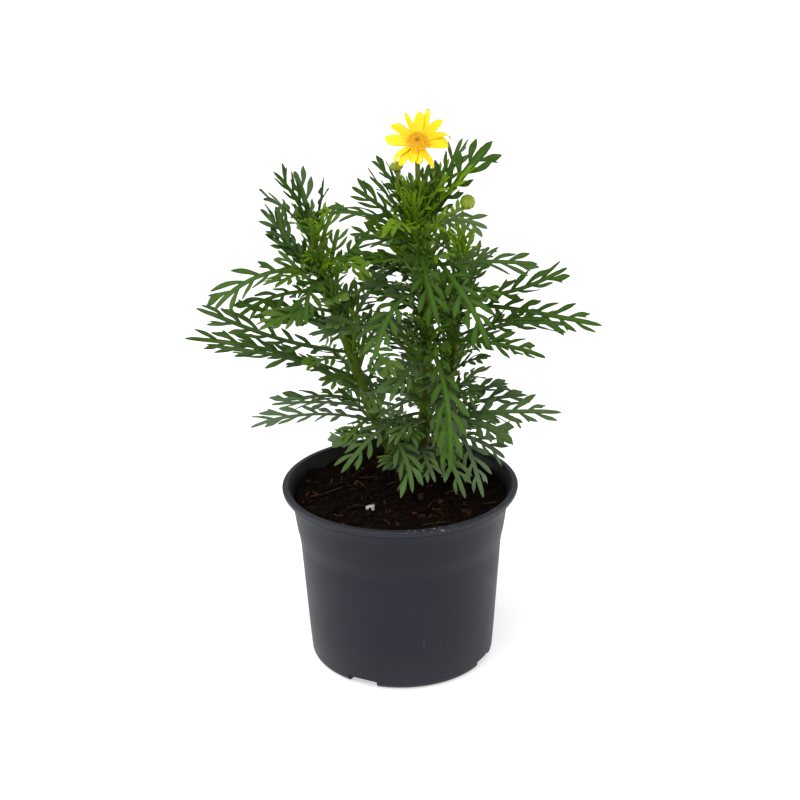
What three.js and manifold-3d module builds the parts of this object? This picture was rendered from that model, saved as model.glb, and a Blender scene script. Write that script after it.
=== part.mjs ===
// Potted euryops: a bushy perennial with deeply cut leaves and one open yellow daisy,
// growing from three leafy stems in the soil of a plain plastic nursery pot.
// Millimetres, +Z up. The origin is the centre of the pot's base, and -Y is the front.
import * as THREE from 'three';
import { mergeVertices } from 'three/addons/utils/BufferGeometryUtils.js';
import Module from 'manifold-3d';

const wasm = await Module();
wasm.setup();

// Driving dimensions
const POT_RIM_DIAMETER = 150;
const POT_HEIGHT = 118;
const POT_BASE_DIAMETER = 118.4;
const POT_WALL = 1.4;
const SOIL_DEPTH_BELOW_RIM = 10;
const BLADE_THICKNESS = 0.7;
const DISC_DIAMETER = 13.4;
const GAP = 0.3;

// Pot: the heights and radii of its lip, collar and foot
const RIM_RADIUS = POT_RIM_DIAMETER / 2;
const BASE_RADIUS = POT_BASE_DIAMETER / 2;
const LIP_HEIGHT = 5.5;
const LIP_WIDTH = 4.2;
const COLLAR_TOP_RADIUS = RIM_RADIUS - 5.7;
const COLLAR_FOOT_RADIUS = RIM_RADIUS - 8.6;
const COLLAR_FOOT_Z = 87;
const WALL_TOP_RADIUS = RIM_RADIUS - 10.6;
const WALL_TOP_Z = 83;
const CORNER_RADIUS = 5;
const FLOOR_UNDERSIDE_Z = 2.5;
const FOOT_WIDTH = 3;
const BOSS_RADIUS = 20;
const POT_SIDES = 32;
const DRAIN_SLOTS = 4;
const DRAIN_SLOT_WIDTH = 20;
const DRAIN_SLOT_HEIGHT = 5.5;
const FIRST_SLOT_ANGLE = -116;

// Soil
const SOIL_Z = POT_HEIGHT - SOIL_DEPTH_BELOW_RIM;
const SOIL_RINGS = 6;
const SOIL_RELIEF = 1.6;
const MOUND_HEIGHT = 4;
const MOUND_RADIUS = 24;
const BARK_CHIPS = 8;
const CHIP_SIZE = [9, 4.5, 2.4];
const CHIP_SEED = 41;

// Stems: each is a bent path of points, with its radius at the foot and at the top
const STEM_SIDES = 7;
const STEM_FOOT_Z = 86;
const STEMS = {
  main: {
    radius: [3.6, 2.2],
    path: [[14, 26, STEM_FOOT_Z], [14, 26, 116], [16, 24, 140], [17, 20, 180],
      [17, 17, 220], [15, 14, 260], [13, 12, 292]],
  },
  left: {
    radius: [3.2, 1.8],
    path: [[2, 24, STEM_FOOT_Z], [2, 24, 116], [-9, 20, 138], [-20, 18, 168],
      [-30, 16, 200], [-40, 15, 230], [-48, 15, 256], [-52, 14, 274]],
  },
  back: {
    radius: [3.0, 1.6],
    path: [[24, 36, STEM_FOOT_Z], [24, 36, 116], [29, 38, 140], [34, 40, 180],
      [38, 42, 215], [42, 43, 250]],
  },
};

// Chosen leaves: the stem, the height on it, the leaf's tip, the degrees that the leaf
// arches over its length (negative where it turns up), its pairs of lobes, and, where it
// isn't 1, the share of the usual turn of its face to the front
const CHOSEN_LEAVES = [
  ['back', 222, [126, 8, 218], 12, 5],
  ['back', 226, [105, 20, 251], -12, 4],
  ['back', 200, [91, -8, 228], 15, 5],
  ['main', 206, [89, -14, 205], 24, 5, 0.9],
  ['main', 268, [52, -50, 226], 75, 5],
  ['main', 256, [86, 18, 255], 26, 4],
  ['main', 276, [54, -6, 285], 80, 3],
  ['main', 272, [57, 2, 336], 6, 4, 2.2],
  ['main', 284, [40, 14, 335], -10, 4, 1.8],
  ['main', 280, [-13, 4, 325], 20, 4],
  ['main', 270, [-26, 10, 308], 10, 4, 1.8],
  ['main', 260, [-40, -8, 295], 75, 4, 0.8],
  ['main', 248, [-34, -10, 266], 45, 4],
  ['left', 268, [-72, 12, 318], 40, 4],
  ['left', 270, [-62, 22, 314], 10, 4],
  ['left', 272, [-42, 6, 312], 5, 3],
  ['left', 256, [-72, 5, 297], -50, 4, 2.3],
  ['left', 270, [-75, -34, 311], 40, 5],
  ['left', 252, [-109, -14, 239], 80, 5],
  ['left', 240, [-97, -12, 235], 40, 4],
  ['left', 218, [-83, 25, 225], 10, 4],
  ['left', 200, [-121, -12, 239], -6, 5],
  ['left', 182, [-132, 10, 213], 16, 5],
  ['left', 172, [-112, -22, 218], 26, 5],
  ['left', 164, [-71, 20, 166], 30, 3, 0.6],
  ['left', 160, [-79, 5, 168], 35, 4, 0.7],
  ['left', 152, [-91, -20, 166], 35, 4, 0.1],
  ['main', 156, [-36, -50, 147], 45, 5],
  ['left', 140, [-41, -30, 156], 45, 4],
  ['main', 236, [-15, -56, 221], 85, 5],
  ['main', 264, [23, -46, 238], 95, 4],
  ['main', 208, [31, -58, 150], 95, 5],
  ['main', 152, [39, -40, 124], 80, 4],
  ['back', 146, [52, -26, 118], 80, 4],
  ['main', 150, [101, -2, 164], 34, 5],
  ['back', 150, [82, 30, 165], 10, 3],
  ['main', 144, [70, -18, 150], 60, 4],
  ['back', 134, [68, 26, 122], 60, 3],
  ['back', 156, [70, 34, 171], 5, 3],
  ['back', 168, [55, 45, 163], 30, 3],
  ['main', 132, [-2, -8, 128], 50, 3],
  ['main', 128, [0, -18, 138], 60, 3],
  ['main', 274, [-15, -10, 317], 20, 4],
  ['left', 246, [-54, -38, 238], 85, 4],
];

// Leaves by rule: they turn by the golden angle up each stem and fill the room that the
// chosen leaves leave. A side stem bears them within its spread of its outward side.
// The numbers in skip are places where a leaf would grow into a neighbouring stem's leaf.
const LEAF_ROWS = [
  { stem: 'main', count: 34, from: 138, to: 286, phase: 40, outward: 0, spread: 180,
    skip: [0, 1, 8, 9, 10, 13, 21, 22] },
  { stem: 'left', count: 20, from: 138, to: 264, phase: 10, outward: 165, spread: 135,
    skip: [0, 1, 3, 7, 8] },
  { stem: 'back', count: 18, from: 136, to: 246, phase: 75, outward: 35, spread: 125,
    skip: [3, 5, 7, 11, 12, 17] },
];
const YOUNG_LEAF_ROWS = [
  { stem: 'main', count: 6, from: 285, phase: 20 },
  { stem: 'left', count: 4, from: 268, phase: 60 },
  { stem: 'back', count: 4, from: 244, phase: 100 },
];
// What a leaf by rule is like: two values run from the row's foot to its top, and a
// variation is the most that the random draw may change the value, from end to end
const ROW_LEAF = {
  length: 58, swell: 24, topShortening: 0.42, lengthVariation: 0.2,
  rise: [12, 50], riseVariation: 10,
  arch: [52, 20], archVariation: 12,
  turnVariation: 20, manyPairsOver: 62,
};
const YOUNG_LEAF = { rise: 66, riseStep: 8, arch: 14, length: 30, shorterEach: 2.5, spacing: 6 };
const GOLDEN_ANGLE = 137.508;
const LEAF_SEED = 7;
const ROOM_ANGLE = 38;
const ROOM_HEIGHT = 15;

// Leaf form: a narrow rib that widens past its stalk, with strap-shaped lobes along it
const LOBE_HALF_WIDTH = 1.6;
const LOBE_BASE_LENGTH = 3;
const LOBE_LENGTH_SHARE = 0.105;
const LONGEST_LOBE = 11.5;
const FIRST_LOBE = 0.30;
const LAST_LOBE = 0.85;
const LOBE_STAGGER = 0.6;
const STALK_HALF_WIDTH = 0.8;
const RIB_WIDENING = 0.9;
const TIP_HALF_WIDTH = 1;
const LOBE_LEAN = [62, 40];
const BLADE_FOLD = 14;
const FACE_FRONT = 35;

// Flower head: it nods towards the front
const FLOWER_CENTRE = new THREE.Vector3(13, 4, 335);
const FLOWER_TILT = 40;
const RAY_ROOT_RADIUS = 5;
const RAY_RING_RADIUS = 6.4;
const RAY_RING_HOLE = 3;
const RAY_RING_THICKNESS = 1.4;
// Rays, clockwise from the top: angle, length from the centre, width, and droop of the tip
const RAYS = [
  [4, 25, 6.8, 6], [16, 27.5, 6.8, 8], [40, 24.5, 7, 10], [60, 25, 7, 24],
  [78, 22, 6.2, 26], [92, 19, 6, 12], [150, 19.5, 6.4, 14], [174, 14, 6.2, 10],
  [196, 14, 5.8, 10], [221, 19.5, 5, 34], [240, 21, 5.6, 40], [287, 20.5, 7.4, 12],
  [318, 23.5, 7.2, 14], [346, 26, 4.2, 6],
];
const DISC_RADIUS = DISC_DIAMETER / 2;
const DISC_HEIGHT = 2.8;
const DISC_RINGS = 5;
const DISC_SIDES = 20;
const FLORET_RELIEF = 0.35;
const CALYX_RADIUS = 5.6;
const CALYX_HEIGHT = 5;
const CALYX_SIDES = 12;

// Stalks and buds: the stalk's path ends at the bud's seat
const STALK_RADIUS = 1.5;
const STALK_SIDES = 6;
const BUDS = {
  right_bud: { centre: [43, 4, 299], radius: 4.6, height: 8, tilt: [40, 14],
    stalkRadius: 1.1, stalk: [[14, 13, 277], [26, 10, 287], [35, 7, 292]] },
  left_bud: { centre: [0.5, 6, 321], radius: 4.0, height: 5.4, tilt: [0, -10],
    stalkRadius: 0.9, stalk: [[13, 12, 284], [5, 9, 300], [1, 7, 312]] },
};
const BUD_BRACTS = 10;
const BUD_SIDES = 20;
const BUD_RINGS = 6;

const MATERIALS = {
  pot: { color: 0x35363d, roughness: 0.55, metalness: 0 },
  soil: { color: 0x1c120c, roughness: 0.95, metalness: 0 },
  leaf: { color: 0x3f6a2c, roughness: 0.6, metalness: 0 },
  ray: { color: 0xf6d912, roughness: 0.55, metalness: 0 },
  disc: { color: 0xd99a05, roughness: 0.8, metalness: 0 },
  bud: { color: 0x88991a, roughness: 0.6, metalness: 0 },
};

const radians = THREE.MathUtils.degToRad;
const wrapAngle = (degrees) => ((degrees + 180) % 360 + 360) % 360 - 180;
const { clamp, lerp, mapLinear, radToDeg } = THREE.MathUtils;

// A repeatable stream of numbers from 0 to 1
function seededNumbers(seed) {
  let state = seed;
  return () => {
    state = (state * 1664525 + 1013904223) % 4294967296;
    return state / 4294967296;
  };
}

// Solids: a closed triangle mesh becomes a solid that can be joined and cut
function solidOf(geometry) {
  const bare = geometry.clone();
  bare.deleteAttribute('normal');
  bare.deleteAttribute('uv');
  const merged = mergeVertices(bare, 1e-4);
  return new wasm.Manifold(new wasm.Mesh({
    numProp: 3,
    vertProperties: new Float32Array(merged.attributes.position.array),
    triVerts: new Uint32Array(merged.index.array),
  }));
}

function geometryOf(solid) {
  const mesh = solid.getMesh();
  const geometry = new THREE.BufferGeometry();
  geometry.setAttribute('position', new THREE.BufferAttribute(mesh.vertProperties, 3));
  geometry.setIndex(new THREE.BufferAttribute(mesh.triVerts, 1));
  return geometry;
}

function geometryFrom(points, triangles) {
  const geometry = new THREE.BufferGeometry().setFromPoints(points);
  geometry.setIndex(triangles.flat());
  return geometry;
}

function meshNamed(name, geometry, material) {
  geometry.computeVertexNormals();
  const mesh = new THREE.Mesh(geometry, new THREE.MeshStandardMaterial(MATERIALS[material]));
  mesh.name = name;
  return mesh;
}

// A closed skin through rings of points that run up its length, each counter-clockwise
function skinThrough(rings) {
  const sides = rings[0].length;
  const points = rings.flat();
  const foot = points.length;
  const top = foot + 1;
  const middle = (ring) => ring.reduce((sum, p) => sum.add(p), new THREE.Vector3())
    .divideScalar(sides);
  points.push(middle(rings[0]), middle(rings.at(-1)));
  const triangles = [];
  for (let ring = 0; ring < rings.length - 1; ring += 1) {
    for (let side = 0; side < sides; side += 1) {
      const next = (side + 1) % sides;
      const [a, b] = [ring * sides + side, ring * sides + next];
      triangles.push([a, b, b + sides], [a, b + sides, a + sides]);
    }
  }
  const last = (rings.length - 1) * sides;
  for (let side = 0; side < sides; side += 1) {
    const next = (side + 1) % sides;
    triangles.push([next, side, foot], [last + side, last + next, top]);
  }
  return geometryFrom(points, triangles);
}

// A round rod along a path of points that rises all the way, its rings level
function taperedRod(path, [footRadius, topRadius], sides = STEM_SIDES, extra = 0) {
  const low = path[0][2];
  const high = path.at(-1)[2];
  return skinThrough(path.map(([x, y, z]) => {
    const radius = extra + mapLinear(z, low, high, footRadius, topRadius);
    return Array.from({ length: sides }, (_, side) => {
      const angle = 2 * Math.PI * side / sides;
      return new THREE.Vector3(x + radius * Math.cos(angle), y + radius * Math.sin(angle), z);
    });
  }));
}

function pointOnStem(stem, z) {
  const { path } = STEMS[stem];
  const above = path.findIndex((point) => point[2] >= z);
  const [a, b] = [path[above - 1], path[above]];
  const share = (z - a[2]) / (b[2] - a[2]);
  return new THREE.Vector3(a[0] + (b[0] - a[0]) * share, a[1] + (b[1] - a[1]) * share, z);
}

// Leaves: a leaf leaves its stem at base in direction azimuth, rises at rise degrees and
// bends down by arch degrees over its length
function leafToTip([stem, z, tip, arch, pairs, facing = 1]) {
  const base = pointOnStem(stem, z);
  const chord = new THREE.Vector3(...tip).sub(base);
  const reach = chord.length();
  const halfArch = radians(arch) / 2;
  return {
    stem, z, base, arch, pairs, facing,
    azimuth: radToDeg(Math.atan2(chord.y, chord.x)),
    rise: radToDeg(Math.asin(chord.z / reach)) + arch / 2,
    length: reach * halfArch / Math.sin(halfArch),
  };
}

function hasRoom(leaf, grown) {
  return !grown.some((other) => other.stem === leaf.stem
    && Math.abs(other.z - leaf.z) < ROOM_HEIGHT
    && Math.abs(wrapAngle(leaf.azimuth - other.azimuth)) < ROOM_ANGLE);
}

function leavesInRow(row, random, grown) {
  for (let i = 0; i < row.count; i += 1) {
    const share = i / (row.count - 1);
    const z = row.from + (row.to - row.from) * share;
    const [turn, lift, stretch] = [random() - 0.5, random() - 0.5, random() - 0.5];
    let off = wrapAngle(row.phase + GOLDEN_ANGLE * i + ROW_LEAF.turnVariation * turn
      - row.outward);
    if (Math.abs(off) > row.spread) {
      off = (Math.abs(off) - 180) * Math.sign(off);
    }
    const swell = Math.sin(Math.PI * Math.min(1, share * 0.8 + 0.15));
    const length = (ROW_LEAF.length + ROW_LEAF.swell * swell)
      * (1 - ROW_LEAF.topShortening * share ** 3) * (1 + ROW_LEAF.lengthVariation * stretch);
    const leaf = {
      stem: row.stem, z, length,
      base: pointOnStem(row.stem, z),
      azimuth: row.outward + off,
      rise: lerp(...ROW_LEAF.rise, share ** 1.5) + ROW_LEAF.riseVariation * lift,
      arch: lerp(...ROW_LEAF.arch, share) + ROW_LEAF.archVariation * lift,
      pairs: length > ROW_LEAF.manyPairsOver ? 4 : 3,
      facing: 1,
    };
    if (!row.skip.includes(i) && hasRoom(leaf, grown)) {
      grown.push(leaf);
    }
  }
}

function youngLeaves({ stem, count, from, phase }) {
  return Array.from({ length: count }, (_, i) => ({
    stem,
    z: from,
    base: pointOnStem(stem, from + YOUNG_LEAF.spacing * i / count),
    azimuth: phase + GOLDEN_ANGLE * i,
    rise: YOUNG_LEAF.rise + YOUNG_LEAF.riseStep * (i % 3),
    arch: YOUNG_LEAF.arch,
    length: YOUNG_LEAF.length - YOUNG_LEAF.shorterEach * i,
    pairs: i < 3 ? 3 : 2,
    facing: 1,
  }));
}

function allLeaves() {
  const random = seededNumbers(LEAF_SEED);
  const grown = CHOSEN_LEAVES.map(leafToTip);
  LEAF_ROWS.forEach((row) => leavesInRow(row, random, grown));
  return grown.concat(YOUNG_LEAF_ROWS.flatMap(youngLeaves));
}

// Maps a point of the flat leaf to its place: along from 0 to 1, across and up in mm
function placeOnLeaf(leaf) {
  const azimuth = radians(leaf.azimuth);
  const rise = radians(leaf.rise);
  const arch = radians(leaf.arch);
  const fold = radians(BLADE_FOLD);
  const roll = -leaf.facing * radians(FACE_FRONT) * Math.cos(azimuth);
  const out = new THREE.Vector3(Math.cos(azimuth), Math.sin(azimuth), 0);
  const side = new THREE.Vector3(-Math.sin(azimuth), Math.cos(azimuth), 0);
  return (along, across, up) => {
    const slope = rise - arch * along;
    const reach = leaf.length * (Math.sin(rise) - Math.sin(slope)) / arch;
    const climb = leaf.length * (Math.cos(slope) - Math.cos(rise)) / arch;
    const normal = out.clone().multiplyScalar(-Math.sin(slope));
    normal.z = Math.cos(slope);
    const rolledSide = side.clone().multiplyScalar(Math.cos(roll))
      .addScaledVector(normal, -Math.sin(roll));
    const rolledNormal = normal.multiplyScalar(Math.cos(roll))
      .addScaledVector(side, Math.sin(roll));
    const place = leaf.base.clone().addScaledVector(out, reach);
    place.z += climb;
    return place.addScaledVector(rolledSide, across * Math.cos(fold))
      .addScaledVector(rolledNormal, Math.abs(across) * Math.sin(fold) + up);
  };
}

// The flat outline of a leaf as points [along, across] and the triangles on its face
function leafOutline({ length, pairs }) {
  const points = [];
  const triangles = [];
  const add = (along, across) => points.push([along, across]) - 1;
  const ribHalfWidth = (t) => (STALK_HALF_WIDTH + RIB_WIDENING * clamp((t - 0.25) / 0.5, 0, 1))
    * (t < LAST_LOBE ? 1 : 0.8);
  const edges = { 1: [add(0, STALK_HALF_WIDTH)], '-1': [add(0, -STALK_HALF_WIDTH)] };
  const root = LOBE_HALF_WIDTH / length;
  const longest = Math.min(LONGEST_LOBE, LOBE_BASE_LENGTH + LOBE_LENGTH_SHARE * length);
  const rims = { 1: [...edges[1]], '-1': [...edges['-1']] };
  for (let i = 0; i < pairs; i += 1) {
    const share = i / (pairs - 1);
    const swell = 0.62 + 0.38 * Math.sin(Math.PI * Math.min(1, (i + 0.8) / (pairs + 0.2)));
    const lobe = longest * swell * (i < pairs - 1 ? 1 : 0.8);
    const lean = radians(lerp(...LOBE_LEAN, share));
    const [forward, outward] = [Math.cos(lean) * lobe / length, Math.sin(lean) * lobe];
    for (const hand of [1, -1]) {
      const middle = FIRST_LOBE + (LAST_LOBE - FIRST_LOBE) * share + hand * LOBE_STAGGER / length;
      const rib = ribHalfWidth(middle);
      const near = add(middle - root, hand * rib);
      const end = add(middle + forward, hand * (rib + outward));
      const far = add(middle + root, hand * rib);
      edges[hand].push(near, far);
      rims[hand].push(near, end, far);
      triangles.push(hand > 0 ? [near, far, end] : [near, end, far]);
    }
  }
  for (const hand of [1, -1]) {
    const shoulder = add(0.95, hand * TIP_HALF_WIDTH);
    edges[hand].push(shoulder);
    rims[hand].push(shoulder);
  }
  const tip = add(1, 0);
  for (let i = 0; i < edges[1].length - 1; i += 1) {
    const [l0, l1, r0, r1] = [edges[1][i], edges[1][i + 1], edges['-1'][i], edges['-1'][i + 1]];
    triangles.push([r0, r1, l1], [r0, l1, l0]);
  }
  triangles.push([edges['-1'].at(-1), tip, edges[1].at(-1)]);
  const rim = [...rims['-1'], tip, ...rims[1].reverse()];
  return { points, triangles, rim };
}

function bladeSolid({ points, triangles, rim }, place, thickness = BLADE_THICKNESS) {
  const count = points.length;
  const top = points.map(([along, across]) => place(along, across, thickness / 2));
  const bottom = points.map(([along, across]) => place(along, across, -thickness / 2));
  const faces = triangles.concat(triangles.map(([a, b, c]) => [a + count, c + count, b + count]));
  rim.forEach((a, i) => {
    const b = rim[(i + 1) % rim.length];
    faces.push([a, a + count, b + count], [a, b + count, b]);
  });
  return solidOf(geometryFrom(top.concat(bottom), faces));
}

// The leafy stem: its rod with every leaf's stalk sunk to the middle of it
function leafyStemSolid(stem, leaves) {
  const { path, radius } = STEMS[stem];
  const pieces = [solidOf(taperedRod(path, radius))];
  for (const leaf of leaves.filter((one) => one.stem === stem)) {
    pieces.push(bladeSolid(leafOutline(leaf), placeOnLeaf(leaf)));
  }
  return wasm.Manifold.union(pieces);
}

// A round form turned about its own axis, then set with that axis tilted, foot at place
function turnedSolid(profile, sides, place, [tiltFront, tiltRight], bump = () => 1) {
  const geometry = new THREE.LatheGeometry(profile, sides);
  const position = geometry.attributes.position;
  const point = new THREE.Vector3();
  for (let i = 0; i < position.count; i += 1) {
    point.fromBufferAttribute(position, i);
    const height = point.y;
    const angle = Math.atan2(point.x, point.z);
    const radius = Math.hypot(point.x, point.z) * bump(angle, height);
    point.set(radius * Math.cos(angle), radius * Math.sin(angle), height);
    position.setXYZ(i, point.x, point.y, point.z);
  }
  const tilt = new THREE.Euler(radians(tiltFront), radians(tiltRight), 0);
  geometry.applyQuaternion(new THREE.Quaternion().setFromEuler(tilt));
  geometry.translate(place.x, place.y, place.z);
  return solidOf(geometry);
}

const arcPoints = (x, y, radius, from, to, steps) => Array.from({ length: steps + 1 }, (_, i) => {
  const angle = radians(from + (to - from) * i / steps);
  return new THREE.Vector2(x + radius * Math.cos(angle), y + radius * Math.sin(angle));
});

// Pot: a thin moulded wall, with a rounded lip, a collar, a raised floor and drain slots
function innerRadiusAt(z) {
  const heights = [FLOOR_UNDERSIDE_Z, WALL_TOP_Z, COLLAR_FOOT_Z, POT_HEIGHT - LIP_HEIGHT];
  const outer = [BASE_RADIUS, WALL_TOP_RADIUS, COLLAR_FOOT_RADIUS, COLLAR_TOP_RADIUS];
  const above = Math.max(1, heights.findIndex((height) => height >= z));
  const outerRadius = mapLinear(
    z, heights[above - 1], heights[above], outer[above - 1], outer[above],
  );
  return outerRadius - POT_WALL;
}

function potSolid() {
  const floorTop = FLOOR_UNDERSIDE_Z + POT_WALL;
  const footInner = BASE_RADIUS - CORNER_RADIUS - FOOT_WIDTH;
  const lipRound = LIP_HEIGHT / 2;
  const lipMiddle = POT_HEIGHT - lipRound;
  const profile = [
    [0, 0], [BOSS_RADIUS, 0], [BOSS_RADIUS + 1.5, FLOOR_UNDERSIDE_Z],
    [footInner - 1, FLOOR_UNDERSIDE_Z], [footInner, 0],
  ].map(([x, y]) => new THREE.Vector2(x, y));
  profile.push(...arcPoints(BASE_RADIUS - CORNER_RADIUS, CORNER_RADIUS, CORNER_RADIUS, -90, 0, 4));
  profile.push(new THREE.Vector2(WALL_TOP_RADIUS, WALL_TOP_Z));
  profile.push(new THREE.Vector2(COLLAR_FOOT_RADIUS, COLLAR_FOOT_Z));
  profile.push(new THREE.Vector2(COLLAR_TOP_RADIUS, POT_HEIGHT - LIP_HEIGHT));
  profile.push(...arcPoints(RIM_RADIUS - lipRound, lipMiddle, lipRound, -60, 90, 5));
  profile.push(new THREE.Vector2(RIM_RADIUS - LIP_WIDTH, POT_HEIGHT - 0.6));
  profile.push(new THREE.Vector2(innerRadiusAt(POT_HEIGHT - LIP_HEIGHT), POT_HEIGHT - LIP_HEIGHT));
  profile.push(new THREE.Vector2(innerRadiusAt(COLLAR_FOOT_Z), COLLAR_FOOT_Z));
  profile.push(new THREE.Vector2(innerRadiusAt(WALL_TOP_Z), WALL_TOP_Z));
  profile.push(new THREE.Vector2(BASE_RADIUS - POT_WALL, CORNER_RADIUS + 3));
  profile.push(new THREE.Vector2(BASE_RADIUS - POT_WALL - 3.2, floorTop));
  profile.push(new THREE.Vector2(0, floorTop));
  const centre = new THREE.Vector3();
  const slots = Array.from({ length: DRAIN_SLOTS }, (_, i) => {
    const angle = radians(FIRST_SLOT_ANGLE + 360 / DRAIN_SLOTS * i);
    const slot = new THREE.BoxGeometry(2 * FOOT_WIDTH + 7, DRAIN_SLOT_WIDTH, 2 * DRAIN_SLOT_HEIGHT);
    slot.translate(BASE_RADIUS - 1.5, 0, 0);
    slot.rotateZ(angle);
    return solidOf(slot);
  });
  return turnedSolid(profile, POT_SIDES, centre, [0, 0]).subtract(wasm.Manifold.union(slots));
}

// Soil: a filling with a lumpy top, a low mound round the stems and half-sunk bark chips
function soilHeight(x, y) {
  const { path } = STEMS.main;
  const fromPlant = Math.hypot(x - path[0][0], y - path[0][1]);
  const mound = MOUND_HEIGHT * Math.exp(-((fromPlant / MOUND_RADIUS) ** 2));
  const lumps = Math.sin(x * 0.21 + 1.3) * Math.cos(y * 0.17) + 0.6 * Math.sin(x * 0.43 - y * 0.37);
  return SOIL_Z + mound + SOIL_RELIEF * 0.5 * lumps;
}

function soilSolid() {
  const edge = innerRadiusAt(SOIL_Z - 3) - GAP;
  const floorTop = FLOOR_UNDERSIDE_Z + POT_WALL + GAP;
  const side = [
    [0, floorTop],
    [BASE_RADIUS - POT_WALL - 3.6, floorTop],
    [BASE_RADIUS - POT_WALL - 2 * GAP, CORNER_RADIUS + 3.4],
    [innerRadiusAt(WALL_TOP_Z) - GAP, WALL_TOP_Z],
    [innerRadiusAt(COLLAR_FOOT_Z) - GAP, COLLAR_FOOT_Z + 0.6],
    [edge, SOIL_Z - 3],
  ].map(([x, y]) => new THREE.Vector2(x, y));
  for (let ring = SOIL_RINGS; ring >= 0; ring -= 1) {
    side.push(new THREE.Vector2(Math.max(0, edge - 1) * ring / SOIL_RINGS, SOIL_Z));
  }
  const geometry = new THREE.LatheGeometry(side, POT_SIDES);
  const position = geometry.attributes.position;
  const random = seededNumbers(CHIP_SEED);
  for (let i = 0; i < position.count; i += 1) {
    const [x, height, z] = [position.getX(i), position.getY(i), position.getZ(i)];
    const angle = Math.atan2(x, z);
    const radius = Math.hypot(x, z);
    const [px, py] = [radius * Math.cos(angle), radius * Math.sin(angle)];
    const top = height >= SOIL_Z;
    position.setXYZ(i, px, py, top ? soilHeight(px, py) : height);
  }
  let soil = solidOf(geometry);
  const chips = Array.from({ length: BARK_CHIPS }, (_, i) => {
    const distance = 26 + 36 * random();
    const angle = radians(GOLDEN_ANGLE * i + 200);
    const [x, y] = [distance * Math.cos(angle), distance * Math.sin(angle)];
    const chip = new THREE.BoxGeometry(...CHIP_SIZE.map((size) => size * (0.7 + 0.6 * random())));
    chip.rotateX(radians(20 * (random() - 0.5)));
    chip.rotateY(radians(24 * (random() - 0.5)));
    chip.rotateZ(2 * Math.PI * random());
    chip.translate(x, y, soilHeight(x, y) + 0.3);
    return solidOf(chip);
  });
  soil = soil.add(wasm.Manifold.union(chips));
  const holes = Object.values(STEMS).map(({ path, radius }) => {
    const [x, y] = path[0];
    const hole = [[x, y, STEM_FOOT_Z - GAP], [x, y, POT_HEIGHT + 20]];
    return solidOf(taperedRod(hole, [radius[0] + GAP, radius[0] + GAP]));
  });
  return soil.subtract(wasm.Manifold.union(holes));
}

// Flower head, built about its own axis and then set at its centre with a forward tilt
const FLOWER_TURN = new THREE.Quaternion().setFromEuler(
  new THREE.Euler(radians(FLOWER_TILT), 0, 0),
);
const onFlower = (x, y, z) => new THREE.Vector3(x, y, z).applyQuaternion(FLOWER_TURN)
  .add(FLOWER_CENTRE);

function rayBlade([clock, reach, width, droop]) {
  const stations = [0, 0.45, 0.88];
  const halfWidths = [0.74, 1, 0.84].map((share) => share * width / 2);
  const run = reach - RAY_ROOT_RADIUS;
  const points = [];
  stations.forEach((t, i) => [-1, 0, 1].forEach((hand) => points.push([t, hand * halfWidths[i]])));
  const tips = [points.push([1, -width * 0.16]) - 1, points.push([1, width * 0.16]) - 1];
  const triangles = [];
  for (let row = 0; row < stations.length - 1; row += 1) {
    for (const column of [0, 1]) {
      const a = row * 3 + column;
      triangles.push([a, a + 3, a + 4], [a, a + 4, a + 1]);
    }
  }
  const last = (stations.length - 1) * 3;
  triangles.push([last, tips[0], last + 1], [tips[0], tips[1], last + 1]);
  triangles.push([last + 1, tips[1], last + 2]);
  const left = stations.map((_, i) => i * 3);
  const right = stations.map((_, i) => i * 3 + 2).reverse();
  const rim = [...left, tips[0], tips[1], ...right, 1];
  const heading = radians(90 - clock);
  const bend = radians(droop);
  const place = (along, across, up) => {
    const out = RAY_ROOT_RADIUS + run * Math.sin(bend * along) / bend;
    const sink = run * (1 - Math.cos(bend * along)) / bend;
    const channel = 0.12 * Math.abs(across);
    const [cos, sin] = [Math.cos(heading), Math.sin(heading)];
    return onFlower(out * cos + across * -sin, out * sin + across * cos, channel + up - sink);
  };
  return bladeSolid({ points, triangles, rim }, place);
}

function rayRing() {
  const half = RAY_RING_THICKNESS / 2;
  const profile = [
    [RAY_RING_HOLE, -half], [RAY_RING_RADIUS, -half], [RAY_RING_RADIUS, half],
    [RAY_RING_HOLE, half], [RAY_RING_HOLE, -half],
  ].map(([x, y]) => new THREE.Vector2(x, y));
  return turnedSolid(profile, DISC_SIDES, FLOWER_CENTRE, [FLOWER_TILT, 0]);
}

function discSolid() {
  const foot = RAY_RING_THICKNESS / 2 + GAP;
  const profile = [new THREE.Vector2(0, foot)];
  for (let ring = 0; ring <= DISC_RINGS; ring += 1) {
    const angle = radians(90 * ring / DISC_RINGS);
    const radius = DISC_RADIUS * (ring === DISC_RINGS ? 0 : Math.cos(angle));
    profile.push(new THREE.Vector2(radius, foot + 0.4 + DISC_HEIGHT * Math.sin(angle)));
  }
  profile.splice(1, 0, new THREE.Vector2(DISC_RADIUS - 0.6, foot));
  const florets = (angle, height) => {
    const step = Math.round((height - foot) * 2);
    return 1 + FLORET_RELIEF / DISC_RADIUS * Math.cos(DISC_SIDES / 2 * angle + Math.PI * step);
  };
  return turnedSolid(profile, DISC_SIDES, FLOWER_CENTRE, [FLOWER_TILT, 0], florets);
}

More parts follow.
